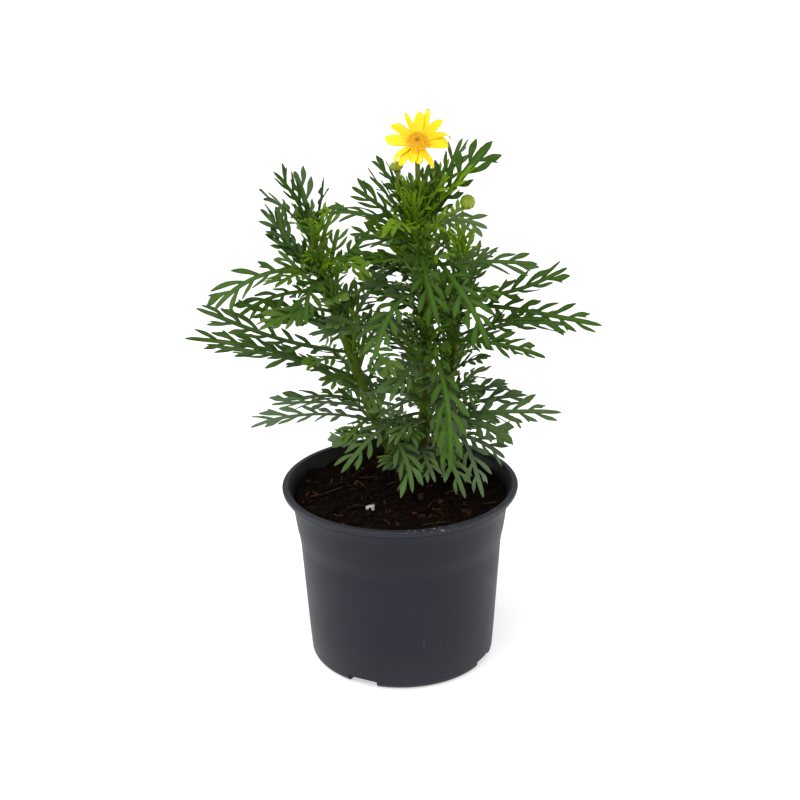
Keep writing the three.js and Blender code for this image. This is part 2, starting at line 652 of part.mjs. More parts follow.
function calyxSolid() {
  const top = -RAY_RING_THICKNESS / 2 - GAP;
  const profile = [
    [0, top - CALYX_HEIGHT - 1.4], [STALK_RADIUS, top - CALYX_HEIGHT - 1], [3.2, top - CALYX_HEIGHT],
    [CALYX_RADIUS - 0.4, top - 2.6], [CALYX_RADIUS, top], [0, top],
  ].map(([x, y]) => new THREE.Vector2(x, y));
  const bracts = (angle) => 1 + 0.04 * Math.cos(CALYX_SIDES / 2 * angle);
  return turnedSolid(profile, CALYX_SIDES, FLOWER_CENTRE, [FLOWER_TILT, 0], bracts);
}

function stalkSolid(points, radius) {
  const curve = new THREE.CatmullRomCurve3(points);
  const path = curve.getPoints(5).map((point) => point.toArray());
  return solidOf(taperedRod(path, [radius * 1.15, radius], STALK_SIDES));
}

function budSolid({ centre, radius, height, tilt }) {
  const profile = Array.from({ length: BUD_RINGS + 1 }, (_, i) => {
    const angle = radians(180 * i / BUD_RINGS - 90);
    const across = i === 0 || i === BUD_RINGS ? 0 : radius * Math.cos(angle) ** 0.8;
    return new THREE.Vector2(across, height / 2 * Math.sin(angle));
  });
  const bracts = (angle, rise) => 1 + 0.06 * Math.cos(BUD_BRACTS * angle) * (rise < 0 ? 1 : 0.7);
  return turnedSolid(profile, BUD_SIDES, new THREE.Vector3(...centre), tilt, bracts);
}

// The bud's stalk ends in a small cup just under the bud
function budStalkSolid(bud) {
  const tilt = new THREE.Euler(radians(bud.tilt[0]), radians(bud.tilt[1]), 0);
  const axis = new THREE.Vector3(0, 0, 1).applyEuler(tilt);
  const centre = new THREE.Vector3(...bud.centre);
  const seat = centre.clone().addScaledVector(axis, -bud.height / 2 - GAP);
  const cup = turnedSolid(
    [[0, -2.6], [1.3, -2.2], [2.2, -0.1], [0, 0]].map(([x, y]) => new THREE.Vector2(x, y)),
    8, seat, bud.tilt,
  );
  const points = bud.stalk.map((point) => new THREE.Vector3(...point));
  points.push(seat.clone().addScaledVector(axis, -1.2));
  return stalkSolid(points, bud.stalkRadius).add(cup);
}

function flowerStalkSolid() {
  const behind = onFlower(0, 0, -CALYX_HEIGHT - 1.8);
  const [x, y, z] = STEMS.main.path.at(-1);
  return stalkSolid([
    new THREE.Vector3(x, y, z - 4),
    new THREE.Vector3(x + 0.4, y - 0.6, z + 14),
    behind,
  ], STALK_RADIUS);
}

const leaves = allLeaves();
const mainStem = wasm.Manifold.union([
  leafyStemSolid('main', leaves),
  flowerStalkSolid(),
  calyxSolid(),
  ...Object.values(BUDS).map(budStalkSolid),
]);
const flowerRays = wasm.Manifold.union([rayRing(), ...RAYS.map(rayBlade)]);

const pottedEuryops = new THREE.Group();
pottedEuryops.name = 'potted_euryops';
pottedEuryops.add(
  meshNamed('pot', geometryOf(potSolid()), 'pot'),
  meshNamed('soil', geometryOf(soilSolid()), 'soil'),
  meshNamed('main_leafy_stem', geometryOf(mainStem), 'leaf'),
  meshNamed('left_leafy_stem', geometryOf(leafyStemSolid('left', leaves)), 'leaf'),
  meshNamed('back_leafy_stem', geometryOf(leafyStemSolid('back', leaves)), 'leaf'),
  meshNamed('flower_rays', geometryOf(flowerRays), 'ray'),
  meshNamed('flower_disc', geometryOf(discSolid()), 'disc'),
  ...Object.entries(BUDS).map(([name, bud]) => meshNamed(name, geometryOf(budSolid(bud)), 'bud')),
);

export default pottedEuryops;
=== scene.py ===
# %% [markdown]
# A potted euryops is a small bush of finely cut leaves with a yellow daisy on top. Nearly
# all of it is repeats: leaves up a stem, lobes along a leaf, rays and florets in the
# flower, crumbs on the soil. So most of this lesson builds one good leaf, ray or crumb,
# and lets Geometry Nodes repeat and bend it by a rule. The first cell loads the packed
# frame, whose solids say where each piece goes.

import math

import bmesh
import bpy
from mathutils import Matrix, Vector, noise


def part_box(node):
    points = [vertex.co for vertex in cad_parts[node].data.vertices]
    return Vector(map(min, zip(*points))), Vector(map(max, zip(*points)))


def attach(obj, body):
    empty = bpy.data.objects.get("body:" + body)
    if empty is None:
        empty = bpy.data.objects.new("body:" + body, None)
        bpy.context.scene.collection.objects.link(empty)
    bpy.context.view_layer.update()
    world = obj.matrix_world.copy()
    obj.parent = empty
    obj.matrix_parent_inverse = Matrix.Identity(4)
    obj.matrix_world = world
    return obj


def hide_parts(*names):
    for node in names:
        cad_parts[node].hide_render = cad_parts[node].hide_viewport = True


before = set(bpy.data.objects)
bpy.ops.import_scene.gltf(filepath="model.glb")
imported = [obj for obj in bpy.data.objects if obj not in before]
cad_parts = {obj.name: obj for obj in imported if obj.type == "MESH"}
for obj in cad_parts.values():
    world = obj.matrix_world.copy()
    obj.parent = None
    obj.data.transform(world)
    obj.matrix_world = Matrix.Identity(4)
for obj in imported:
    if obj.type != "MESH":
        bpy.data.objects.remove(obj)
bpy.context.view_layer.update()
MM = 0.001
print("frame nodes:", ", ".join(sorted(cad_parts)))

# %% [markdown]
# The driving sizes come from the frame where it holds them, and the rest repeats the
# part's own values in millimetres. Reading the pot's rim and height from its node keeps
# the fine pot on the plain one.

# %% Sizes taken from the frame
pot_low, pot_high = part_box("pot")
RIM_RADIUS = (pot_high[0] - pot_low[0]) / 2 / MM
POT_HEIGHT = (pot_high[2] - pot_low[2]) / MM
BASE_RADIUS = 59.2
POT_WALL = 1.4
SOIL_Z = POT_HEIGHT - 10
print("pot rim", round(2 * RIM_RADIUS, 1), "mm across,", round(POT_HEIGHT, 1), "mm high")

# %% [markdown]
# Plain meshes start as lists of points and faces. These three helpers turn such lists
# into an object, apply its modifiers, and join pieces, so that later cells can stay
# short. Every finished object stays at the origin with its place in its mesh.

# %% Mesh helpers
def new_object(name, points, faces, material=None, smooth=True):
    mesh = bpy.data.meshes.new(name)
    mesh.from_pydata([tuple(p) for p in points], [], faces)
    if smooth:
        mesh.polygons.foreach_set("use_smooth", [True] * len(mesh.polygons))
    if material:
        mesh.materials.append(material)
    piece = bpy.data.objects.new(name, mesh)
    bpy.context.collection.objects.link(piece)
    return piece


def apply_modifiers(piece):
    """Swaps the piece's mesh for the one its modifiers make, and removes them."""
    made = piece.evaluated_get(bpy.context.evaluated_depsgraph_get())
    mesh = bpy.data.meshes.new_from_object(made)
    piece.modifiers.clear()
    piece.data = mesh
    return piece


def point_attribute(piece, name, values):
    piece.data.attributes.new(name, "FLOAT", "POINT").data.foreach_set("value", list(values))


def joined(name, pieces):
    with bpy.context.temp_override(active_object=pieces[0], selected_editable_objects=pieces):
        bpy.ops.object.join()
    pieces[0].name = name
    pieces[0].data.name = name
    return pieces[0]


def report(piece):
    piece.data.calc_loop_triangles()
    print(piece.name, "has", len(piece.data.loop_triangles), "triangles")


# %% [markdown]
# A Geometry Nodes tree can hold a whole formula, but wiring every Math node by hand
# hides it. Num wraps a socket so that Python's own + - * / add the nodes, and the
# formula can be read in the code as it would be written on paper.

# %% A small calculator for node trees
class Num:
    """A number inside a node tree. Arithmetic on it adds Math nodes to the tree."""

    def __init__(self, tree, socket):
        self.tree, self.socket = tree, socket

    def math(self, operation, *others):
        node = self.tree.nodes.new("ShaderNodeMath")
        node.operation = operation
        for place, value in enumerate((self, *others)):
            connect(self.tree, value, node.inputs[place])
        return Num(self.tree, node.outputs[0])

    def __add__(self, other):
        return self.math("ADD", other)

    def __sub__(self, other):
        return self.math("SUBTRACT", other)

    def __rsub__(self, other):
        return (self * -1) + other

    def __mul__(self, other):
        return self.math("MULTIPLY", other)

    def __truediv__(self, other):
        return self.math("DIVIDE", other)

    def __neg__(self):
        return self * -1

    __radd__ = __add__
    __rmul__ = __mul__

    def sin(self):
        return self.math("SINE")

    def cos(self):
        return self.math("COSINE")

    def size(self):
        return self.math("ABSOLUTE")


def from_axis(x, y):
    """How far a point is from the upright axis, given its x and y as Nums."""
    return (x * x + y * y).math("SQRT")


def connect(tree, value, socket):
    """Wires a Num or a socket into a socket, or sets the socket to a plain value."""
    if isinstance(value, Num):
        tree.links.new(value.socket, socket)
    elif isinstance(value, bpy.types.NodeSocket):
        tree.links.new(value, socket)
    else:
        socket.default_value = value


# %% [markdown]
# Recipe builds one Geometry Nodes tree: named inputs, nodes by kind, stored attributes
# written and read back as numbers, and one vector put together from three formulas. Its
# bake step runs the tree on a starting mesh and keeps the result as a plain mesh.

# %% A builder for Geometry Nodes trees
class Recipe:
    def __init__(self, name, **inputs):
        self.tree = bpy.data.node_groups.new(name, "GeometryNodeTree")
        face = self.tree.interface
        face.new_socket("Geometry", in_out="INPUT", socket_type="NodeSocketGeometry")
        face.new_socket("Geometry", in_out="OUTPUT", socket_type="NodeSocketGeometry")
        kinds = {float: "NodeSocketFloat", int: "NodeSocketInt",
                 bpy.types.Object: "NodeSocketObject", bpy.types.Material: "NodeSocketMaterial"}
        self.identifiers = {}
        for title, kind in inputs.items():
            socket = face.new_socket(title, in_out="INPUT", socket_type=kinds[kind])
            self.identifiers[title] = socket.identifier
        self.start = self.tree.nodes.new("NodeGroupInput")
        self.end = self.tree.nodes.new("NodeGroupOutput")

    def given(self, title):
        return Num(self.tree, self.start.outputs[title])

    def node(self, kind, settings=None, **values):
        node = self.tree.nodes.new(kind)
        for key, value in (settings or {}).items():
            setattr(node, key, value)
        for title, value in values.items():
            connect(self.tree, value, node.inputs[title.replace("_", " ")])
        return node

    def stored(self, name):
        node = self.node("GeometryNodeInputNamedAttribute", {"data_type": "FLOAT"}, Name=name)
        return Num(self.tree, node.outputs["Attribute"])

    def position(self):
        split = self.node("ShaderNodeSeparateXYZ")
        self.tree.links.new(self.node("GeometryNodeInputPosition").outputs[0], split.inputs[0])
        return [Num(self.tree, socket) for socket in split.outputs]

    def random(self, low, high, number, seed):
        node = self.node("FunctionNodeRandomValue", {"data_type": "FLOAT"})
        connect(self.tree, low, node.inputs[2])
        connect(self.tree, high, node.inputs[3])
        connect(self.tree, number, node.inputs["ID"])
        connect(self.tree, seed, node.inputs["Seed"])
        return Num(self.tree, node.outputs[1])

    def vector(self, x, y, z):
        return self.node("ShaderNodeCombineXYZ", X=x, Y=y, Z=z).outputs[0]

    def rotation(self, x, y, z):
        node = self.node("FunctionNodeEulerToRotation")
        self.tree.links.new(self.vector(x, y, z), node.inputs[0])
        return node.outputs[0]

    def shape_of(self, title):
        return self.node("GeometryNodeObjectInfo", Object=self.given(title)).outputs["Geometry"]

    def store(self, geometry, name, value, domain="INSTANCE"):
        node = self.node("GeometryNodeStoreNamedAttribute", {"data_type": "FLOAT", "domain": domain},
                         Geometry=geometry, Name=name, Value=value)
        return node.outputs[0]

    def finish(self, geometry, material):
        painted = self.node("GeometryNodeSetMaterial", Geometry=geometry, Material=material)
        smooth = self.node("GeometryNodeSetShadeSmooth", Geometry=painted.outputs[0])
        self.tree.links.new(smooth.outputs[0], self.end.inputs[0])

    def bake(self, name, start, **inputs):
        """Runs the tree on the start object and returns the plain mesh object it makes."""
        modifier = start.modifiers.new("Build", "NODES")
        modifier.node_group = self.tree
        for title, value in inputs.items():
            modifier[self.identifiers[title]] = value
        apply_modifiers(start)
        start.name = name
        start.data.name = name
        return start


# %% [markdown]
# Materials are node trees too. Paint keeps one Principled shader and the few texture
# nodes that every finish here needs: noise, a colour ramp, a mix and a bump, all on
# Object coordinates, so that a pattern stays fixed to the mesh.

# %% A builder for materials
NOISE_ROUGHNESS = 0.55


class Paint:
    def __init__(self, name, **sockets):
        self.material = bpy.data.materials.new(name)
        self.material.use_nodes = True
        self.tree = self.material.node_tree
        self.shader = self.tree.nodes["Principled BSDF"]
        for title, value in sockets.items():
            self.shader.inputs[title.replace("_", " ")].default_value = value
        self.place = self.tree.nodes.new("ShaderNodeTexCoord").outputs["Object"]

    def node(self, kind, settings=None, **values):
        node = self.tree.nodes.new(kind)
        for key, value in (settings or {}).items():
            setattr(node, key, value)
        for title, value in values.items():
            connect(self.tree, value, node.inputs[title.replace("_", " ")])
        return node

    def stretched(self, x, y, z):
        return self.node("ShaderNodeMapping", Vector=self.place, Scale=(x, y, z)).outputs[0]

    def noise(self, scale, detail=3.0, where=None):
        node = self.node("ShaderNodeTexNoise", Vector=where or self.place, Scale=scale,
                         Detail=detail, Roughness=NOISE_ROUGHNESS)
        return Num(self.tree, node.outputs["Fac"])

    def stored(self, name):
        node = self.node("ShaderNodeAttribute", {"attribute_name": name})
        return Num(self.tree, node.outputs["Fac"])

    def ramp(self, factor, *stops):
        node = self.node("ShaderNodeValToRGB", Fac=factor)
        ends = node.color_ramp.elements
        while len(ends) < len(stops):
            ends.new(0.5)
        for end, (place, colour) in zip(ends, stops):
            end.position = place
            end.color = (*colour, 1)
        return node.outputs["Color"]

    def level(self, factor, low, high, start=0.0, stop=1.0):
        node = self.node("ShaderNodeMapRange")
        for place, value in enumerate((factor, low, high, start, stop)):
            connect(self.tree, value, node.inputs[place])
        return Num(self.tree, node.outputs[0])

    def mix(self, factor, first, second):
        node = self.node("ShaderNodeMix", {"data_type": "RGBA"})
        connect(self.tree, factor, node.inputs[0])
        for place, colour in ((6, first), (7, second)):
            if isinstance(colour, tuple):
                colour = (*colour, 1)
            connect(self.tree, colour, node.inputs[place])
        return node.outputs[2]

    def bump(self, height, distance, strength=1.0):
        node = self.node("ShaderNodeBump", Height=height, Distance=distance, Strength=strength)
        self.tree.links.new(node.outputs[0], self.shader.inputs["Normal"])

    def set(self, title, value):
        connect(self.tree, value, self.shader.inputs[title])


# %% [markdown]
# The camera stands where the photograph's did. Its height and distance were worked out
# from the pot's outline: the rim's ellipse gives the angle and the wall's taper gives
# the distance. The script sets the lens and the frame's slight tilt.

# %% Camera
CAMERA_TARGET = Vector((0.7, 0, 173.5)) * MM
CAMERA_DISTANCE = 1.0588
CAMERA_ELEVATION = math.radians(21.51)
CAMERA_ROLL = math.radians(-0.81)
CAMERA_LENS_MM = 76.24


def place_camera():
    back = Vector((0, -math.cos(CAMERA_ELEVATION), math.sin(CAMERA_ELEVATION)))
    turn = Matrix((Vector((1, 0, 0)), Vector((0, back.z, -back.y)), back)).transposed()
    turn = turn @ Matrix.Rotation(CAMERA_ROLL, 3, "Z")
    camera = bpy.data.objects.new("camera", bpy.data.cameras.new("camera"))
    camera.data.lens = CAMERA_LENS_MM
    camera.matrix_world = Matrix.Translation(
        CAMERA_TARGET + back * CAMERA_DISTANCE) @ turn.to_4x4()
    bpy.context.collection.objects.link(camera)
    bpy.context.scene.camera = camera
    return camera


camera = place_camera()
print("camera stands", [round(c, 3) for c in camera.location])

# %% [markdown]
# The photograph was taken on white under broad lamps, so it has hardly a shadow and the
# floor stays white to its far edge. A very wide sun lamp lights the whole floor evenly,
# and a little glow in the floor itself washes out the shadow that is left. A round lamp
# low at each side draws the pale edges down the dark pot.

# %% Light and floor
SUN_FROM = Vector((-0.45, -0.65, 1.0))
SUN_STRENGTH = 2.3
SUN_WIDTH = math.radians(70)
SIDE_LAMPS = {"left_edge": (-0.75, 0.10, 0.30), "right_edge": (0.75, 0.05, 0.30)}
SIDE_LAMP_SIZE = 0.5
SIDE_LAMP_WATTS = 2.1
LAMPS_AIM = Vector((0, 0, 0.12))
WORLD_STRENGTH = 0.62
FLOOR_SIZE = 40.0
FLOOR_COLOUR = (0.66, 0.66, 0.66)
FLOOR_GLOW = 0.47


def place_lamp(name, kind, place, energy):
    lamp = bpy.data.objects.new(name, bpy.data.lights.new(name, kind))
    lamp.data.energy = energy
    lamp.location = place
    lamp.rotation_euler = (LAMPS_AIM - lamp.location).to_track_quat("-Z", "Y").to_euler()
    bpy.context.collection.objects.link(lamp)
    return lamp.data


def white_world():
    world = bpy.data.worlds.new("white")
    world.use_nodes = True
    background = world.node_tree.nodes["Background"]
    background.inputs["Color"].default_value = (1, 1, 1, 1)
    background.inputs["Strength"].default_value = WORLD_STRENGTH
    bpy.context.scene.world = world


def pale_floor():
    half = FLOOR_SIZE / 2
    corners = [(-half, -half, 0), (half, -half, 0), (half, half, 0), (-half, half, 0)]
    paint = Paint("pale_floor", Roughness=0.8)
    paint.set("Base Color", (*FLOOR_COLOUR, 1))
    paint.set("Emission Color", (1, 1, 1, 1))
    paint.set("Emission Strength", FLOOR_GLOW)
    floor = new_object("floor", corners, [(0, 1, 2, 3)], paint.material, smooth=False)


place_lamp("sun", "SUN", LAMPS_AIM + SUN_FROM, SUN_STRENGTH).angle = SUN_WIDTH
for lamp_name, lamp_place in SIDE_LAMPS.items():
    side_lamp = place_lamp(lamp_name, "AREA", lamp_place, SIDE_LAMP_WATTS)
    side_lamp.shape = "DISK"
    side_lamp.size = SIDE_LAMP_SIZE
white_world()
pale_floor()
bpy.context.scene.view_settings.view_transform = "Standard"
print("lamps:", 1 + len(SIDE_LAMPS))

# %% [markdown]
# The pot is thin moulded plastic, nearly black with a slate cast. Rubbed scuffs, specks
# and a little dust keep it from looking like paint. They could be painted on an image,
# but noise cut to thin marks needs no image and fits any size. Masks made from the place
# of each point paint shade onto the inner wall as a near-black brown, paint a pale sheen
# onto the lip's outer face, and put pale nicks on two stretches of the lip.

# %% Pot plastic
# Each pair says where a mask starts and where it is full, in metres
INNER_WALL_SLOPE = 0.114
INNER_WALL = (0.0561, 0.0554)
INNER_WALL_FOOT = (0.088, 0.090)
LIP_INSIDE_SLOPE = 0.58
LIP_INSIDE = (0.0032, 0.0028)
# Heights of the lip's outer face, where a painted sheen is mixed in
LIP_SHEEN_HEIGHTS = (0.1126, 0.1140)
LIP_TOP = (0.1158, 0.1166)
LIP_FRONT = (-0.03, -0.05)
NICKED_STRETCHES = (((-0.002, 0.004), (0.036, 0.026)), ((0.050, 0.053), (0.060, 0.057)))
DUST_TOP = 0.03


def pot_plastic():
    paint = Paint("slate_plastic", Roughness=0.5, Specular_IOR_Level=0.21)
    cloud = paint.noise(26, 4)
    scratches = paint.level(paint.noise(150, 2, paint.stretched(3.2, 3.2, 0.35)), 0.70, 0.78)
    patches = paint.level(paint.noise(18, 2), 0.5, 0.66)
    scuffs = scratches * patches
    specks = paint.level(paint.noise(900, 1), 0.74, 0.80)
    spot = paint.node("ShaderNodeSeparateXYZ", Vector=paint.place)
    x, y, z = (Num(paint.tree, spot.outputs[axis]) for axis in "XYZ")
    dust = paint.level(z, 0.0, DUST_TOP, 0.35, 0.0)
    radius = from_axis(x, y)
    # Mask for painted shade on the inner wall and the inside of the lip
    painted_inner_shade = paint.level(radius - z * INNER_WALL_SLOPE, *INNER_WALL) * paint.level(z, *INNER_WALL_FOOT)
    painted_inner_shade = painted_inner_shade + paint.level(radius - z * LIP_INSIDE_SLOPE, *LIP_INSIDE)
    nicked = sum(paint.level(x, *left) * paint.level(x, *right) for left, right in NICKED_STRETCHES)
    front_edge = paint.level(z, *LIP_TOP) * paint.level(y, *LIP_FRONT)
    nicks = paint.level(paint.noise(620, 3), 0.60, 0.66) * front_edge * nicked
    base = paint.ramp(cloud, (0.25, (0.0066, 0.0071, 0.0130)), (0.8, (0.0118, 0.0127, 0.0218)))
    # This colour gathers the real scuffs, specks and nicks, and below also a painted sheen on the lip and
    # painted shade inside
    wear_and_painted_light = paint.mix(scuffs * 0.22, base, (0.20, 0.20, 0.22))
    wear_and_painted_light = paint.mix(specks * 0.22, wear_and_painted_light, (0.16, 0.16, 0.17))
    wear_and_painted_light = paint.mix(nicks * 0.6, wear_and_painted_light, (0.40, 0.40, 0.38))
    # A paler grey on the lip's outer face is a painted sheen
    wear_and_painted_light = paint.mix(paint.level(z, *LIP_SHEEN_HEIGHTS) * 0.4, wear_and_painted_light, (0.030, 0.031, 0.036))
    # Painted shade: the inner wall and the lip's inside are darkened to a near-black brown
    wear_and_painted_light = paint.mix(painted_inner_shade * 0.9, wear_and_painted_light, (0.0030, 0.0024, 0.0020))
    paint.set("Base Color", paint.mix(dust * cloud, wear_and_painted_light, (0.05, 0.05, 0.05)))
    paint.set("Roughness", paint.level(cloud, 0.2, 0.8, 0.40, 0.56) + scuffs * 0.2)
    grain = paint.noise(2600, 2) * 0.5 + paint.noise(70, 2, paint.stretched(1, 1, 0.2))
    paint.bump(grain, 0.00012, 0.5)
    return paint.material


POT_PLASTIC = pot_plastic()
print("pot finish has", len(POT_PLASTIC.node_tree.nodes), "nodes")

# %% [markdown]
# A moulded pot is round, so its shape is one profile spun round its axis. It repeats the
# part's profile with arcs in place of facets: a rolled lip, a collar that steps in, a
# long taper, a round corner and a raised floor. Naming its radii and heights keeps the
# soil, which is spun later, inside the same wall.

# %% Pot profile
LIP_HEIGHT = 5.5
LIP_WIDTH = 4.2
LIP_EDGE = 1.3
COLLAR_TOP_RADIUS = RIM_RADIUS - 5.7
COLLAR_FOOT_RADIUS = RIM_RADIUS - 9.0
COLLAR_FOOT_Z = 88
COLLAR_HEIGHTS = (95, 104)
WALL_TOP_RADIUS = RIM_RADIUS - 10.6
WALL_TOP_Z = 81
WALL_HEIGHTS = (20, 40, 60, 78)
CORNER_RADIUS = 5
FLOOR_UNDERSIDE_Z = 2.5
FOOT_WIDTH = 3
BOSS_RADIUS = 20


def arc(x, z, radius, first, last, steps):
    angles = [math.radians(first + (last - first) * i / steps) for i in range(steps + 1)]
    return [(x + radius * math.cos(a), z + radius * math.sin(a)) for a in angles]


def wall_radius(z):
    """The pot's outer radius under its lip."""
    heights = (FLOOR_UNDERSIDE_Z, WALL_TOP_Z, COLLAR_FOOT_Z, POT_HEIGHT - LIP_HEIGHT)
    radii = (BASE_RADIUS, WALL_TOP_RADIUS, COLLAR_FOOT_RADIUS, COLLAR_TOP_RADIUS)
    above = max(1, next(i for i, height in enumerate(heights) if height >= z))
    share = (z - heights[above - 1]) / (heights[above] - heights[above - 1])
    return radii[above - 1] + (radii[above] - radii[above - 1]) * share


def pot_profile():
    floor_top = FLOOR_UNDERSIDE_Z + POT_WALL
    foot_inner = BASE_RADIUS - CORNER_RADIUS - FOOT_WIDTH
    under_lip = POT_HEIGHT - LIP_HEIGHT
    line = [(0, 0), (BOSS_RADIUS, 0), (BOSS_RADIUS + 0.4, 0.4),
            (BOSS_RADIUS + 1.5, FLOOR_UNDERSIDE_Z),
            (foot_inner - 1, FLOOR_UNDERSIDE_Z), (foot_inner - 0.3, 0.3), (foot_inner, 0)]
    line += arc(BASE_RADIUS - CORNER_RADIUS, CORNER_RADIUS, CORNER_RADIUS, -90, 0, 8)
    line += [(wall_radius(z), z) for z in WALL_HEIGHTS]
    line += [(WALL_TOP_RADIUS - 0.1, WALL_TOP_Z - 0.8), (WALL_TOP_RADIUS + 0.2, WALL_TOP_Z + 0.4)]
    line += [(COLLAR_FOOT_RADIUS - 0.4, COLLAR_FOOT_Z - 0.5), (COLLAR_FOOT_RADIUS, COLLAR_FOOT_Z + 0.6)]
    line += [(wall_radius(z), z) for z in COLLAR_HEIGHTS] + [(COLLAR_TOP_RADIUS, under_lip - 0.9)]
    line += [(COLLAR_TOP_RADIUS + 0.5, under_lip - 0.3), (RIM_RADIUS - 2.6, under_lip - 0.1)]
    line += [(RIM_RADIUS - 1.7, under_lip + 0.5), (RIM_RADIUS - 1.8, under_lip + 1.2)]
    line += [(RIM_RADIUS - 1.2, under_lip + 1.7), (RIM_RADIUS - 0.4, under_lip + 2.4)]
    line += arc(RIM_RADIUS - LIP_EDGE, POT_HEIGHT - LIP_EDGE, LIP_EDGE, 0, 90, 6)
    line += [(RIM_RADIUS - LIP_WIDTH + 0.6, POT_HEIGHT), (RIM_RADIUS - LIP_WIDTH, POT_HEIGHT - 0.5)]
    line += [(wall_radius(under_lip) - POT_WALL, under_lip),
             (COLLAR_FOOT_RADIUS - POT_WALL, COLLAR_FOOT_Z),
             (WALL_TOP_RADIUS - POT_WALL, WALL_TOP_Z),
             (BASE_RADIUS - POT_WALL, CORNER_RADIUS + 3),
             (BASE_RADIUS - POT_WALL - 3.2, floor_top), (0, floor_top)]
    return line


print("pot profile has", len(pot_profile()), "points")

# %% [markdown]
# Blender has a Screw modifier that spins a profile, but a mesh written out ring by ring
# closes its own poles and can be reshaped point by point, which the soil, the cup and the
# buds need. Four slots through the pot's foot let water out. They are cut with a Boolean,
# which is the quickest way to a clean opening.

# %% Pot
DRAIN_SLOTS = 4
DRAIN_SLOT_WIDTH = 20
DRAIN_SLOT_HEIGHT = 5.5
FIRST_SLOT_ANGLE = -116
POT_STEPS = 144
POT_CREASE = math.radians(35)


def spun(name, profile, steps, material=None, shape=None):
    """Spins a profile of (radius, z) that starts and ends on the axis into a closed mesh."""
    inner = profile[1:-1]
    points = [(0, 0, profile[0][1] * MM)]
    for radius, z in inner:
        for step in range(steps):
            angle = 2 * math.pi * step / steps
            r, height = shape(angle, radius, z) if shape else (radius, z)
            points.append((r * MM * math.cos(angle), r * MM * math.sin(angle), height * MM))
    points.append((0, 0, profile[-1][1] * MM))
    faces = []
    for step in range(steps):
        after = (step + 1) % steps
        faces.append((0, 1 + after, 1 + step))
        for row in range(len(inner) - 1):
            a, b = 1 + row * steps + step, 1 + row * steps + after
            faces.append((a, b, b + steps, a + steps))
        last = 1 + (len(inner) - 1) * steps
        faces.append((last + step, last + after, len(points) - 1))
    return new_object(name, points, faces, material)


def box_object(name, size, middle, turn):
    corners = [Vector((x, y, z)) for x in (-1, 1) for y in (-1, 1) for z in (-1, 1)]
    spot = Matrix.Rotation(turn, 3, "Z")
    points = [spot @ (Vector(middle) + Vector(c * s / 2 for c, s in zip(corner, size)))
              for corner in corners]
    faces = [(0, 1, 3, 2), (4, 6, 7, 5), (0, 4, 5, 1), (2, 3, 7, 6), (0, 2, 6, 4), (1, 5, 7, 3)]
    return new_object(name, [p * MM for p in points], faces)


def build_pot():
    pot = spun("nursery_pot", pot_profile(), POT_STEPS, POT_PLASTIC)
    for number in range(DRAIN_SLOTS):
        turn = math.radians(FIRST_SLOT_ANGLE + 360 / DRAIN_SLOTS * number)
        size = (2 * FOOT_WIDTH + 7, DRAIN_SLOT_WIDTH, 2 * DRAIN_SLOT_HEIGHT)
        slot = box_object("slot", size, (BASE_RADIUS - 1.5, 0, 0), turn)
        cut = pot.modifiers.new("Slot", "BOOLEAN")
        cut.operation = "DIFFERENCE"
        cut.solver = "EXACT"
        cut.object = slot
        apply_modifiers(pot)
        bpy.data.objects.remove(slot)
    pot.data.shade_smooth()
    pot.data.set_sharp_from_angle(angle=POT_CREASE)
    return pot


pot = build_pot()
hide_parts("pot")
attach(pot, "root")
report(pot)

# %% [markdown]
# Potting soil is dark peat with bark, straw and a little white perlite in it. Four
# separate materials would repeat each other, so one function makes them all from a dark
# and a light colour. The tint that each crumb stores moves it between the two.

# %% Soil finishes
def soil_paint(name, dark, light, roughness):
    paint = Paint(name, Roughness=roughness, Specular_IOR_Level=0.04)
    grain = paint.noise(420, 5)
    clods = paint.noise(60, 3)
    tint = paint.stored("tint")
    tone = paint.level(grain * 0.5 + clods * 0.25 + tint * 0.35, 0.22, 0.85)
    paint.set("Base Color", paint.ramp(tone, (0.0, dark), (1.0, light)))
    paint.bump(paint.noise(1500, 3), 0.0004, 0.8)
    return paint.material


PEAT = soil_paint("peat", (0.0018, 0.0010, 0.0007), (0.014, 0.0072, 0.0044), 0.95)
BARK = soil_paint("bark", (0.010, 0.0045, 0.003), (0.062, 0.026, 0.014), 0.9)
STRAW = soil_paint("straw", (0.025, 0.012, 0.007), (0.150, 0.085, 0.042), 0.85)
PERLITE = soil_paint("perlite", (0.35, 0.33, 0.30), (0.72, 0.70, 0.66), 0.9)

# %% [markdown]
# The filling is everything the pot holds, so it is a closed body down to the pot's floor.
# It could be sculpted by hand. A spun disc whose top is lifted by formulas follows the
# part's own mound and lumps instead, and fractal noise adds the clods and pits. Near the
# wall the soil is banked up, as it is where a hand has pressed it in.

# %% Soil filling
PLANT_FOOT = (14, 26)
MOUND_HEIGHT = 4
MOUND_RADIUS = 24
SOIL_RELIEF = 1.6
SOIL_CLEARANCE = 0.3
BANK_WIDTH = 8
BANK_HEIGHT = 2.2
SOIL_STEPS = 150
SOIL_RINGS = 60


def soil_height(x, y):
    from_plant = math.hypot(x - PLANT_FOOT[0], y - PLANT_FOOT[1])
    mound = MOUND_HEIGHT * math.exp(-((from_plant / MOUND_RADIUS) ** 2))
    lumps = math.sin(x * 0.21 + 1.3) * math.cos(y * 0.17) + 0.6 * math.sin(x * 0.43 - y * 0.37)
    return SOIL_Z + mound + SOIL_RELIEF * 0.5 * lumps


def rough_soil(x, y):
    spot = Vector((x, y, 0))
    clods = noise.fractal(spot * 0.16, 0.8, 2.1, 5)
    pits = noise.noise(spot * 0.55 + Vector((9, 4, 2)))
    return soil_height(x, y) + 2.0 * clods + 1.2 * pits


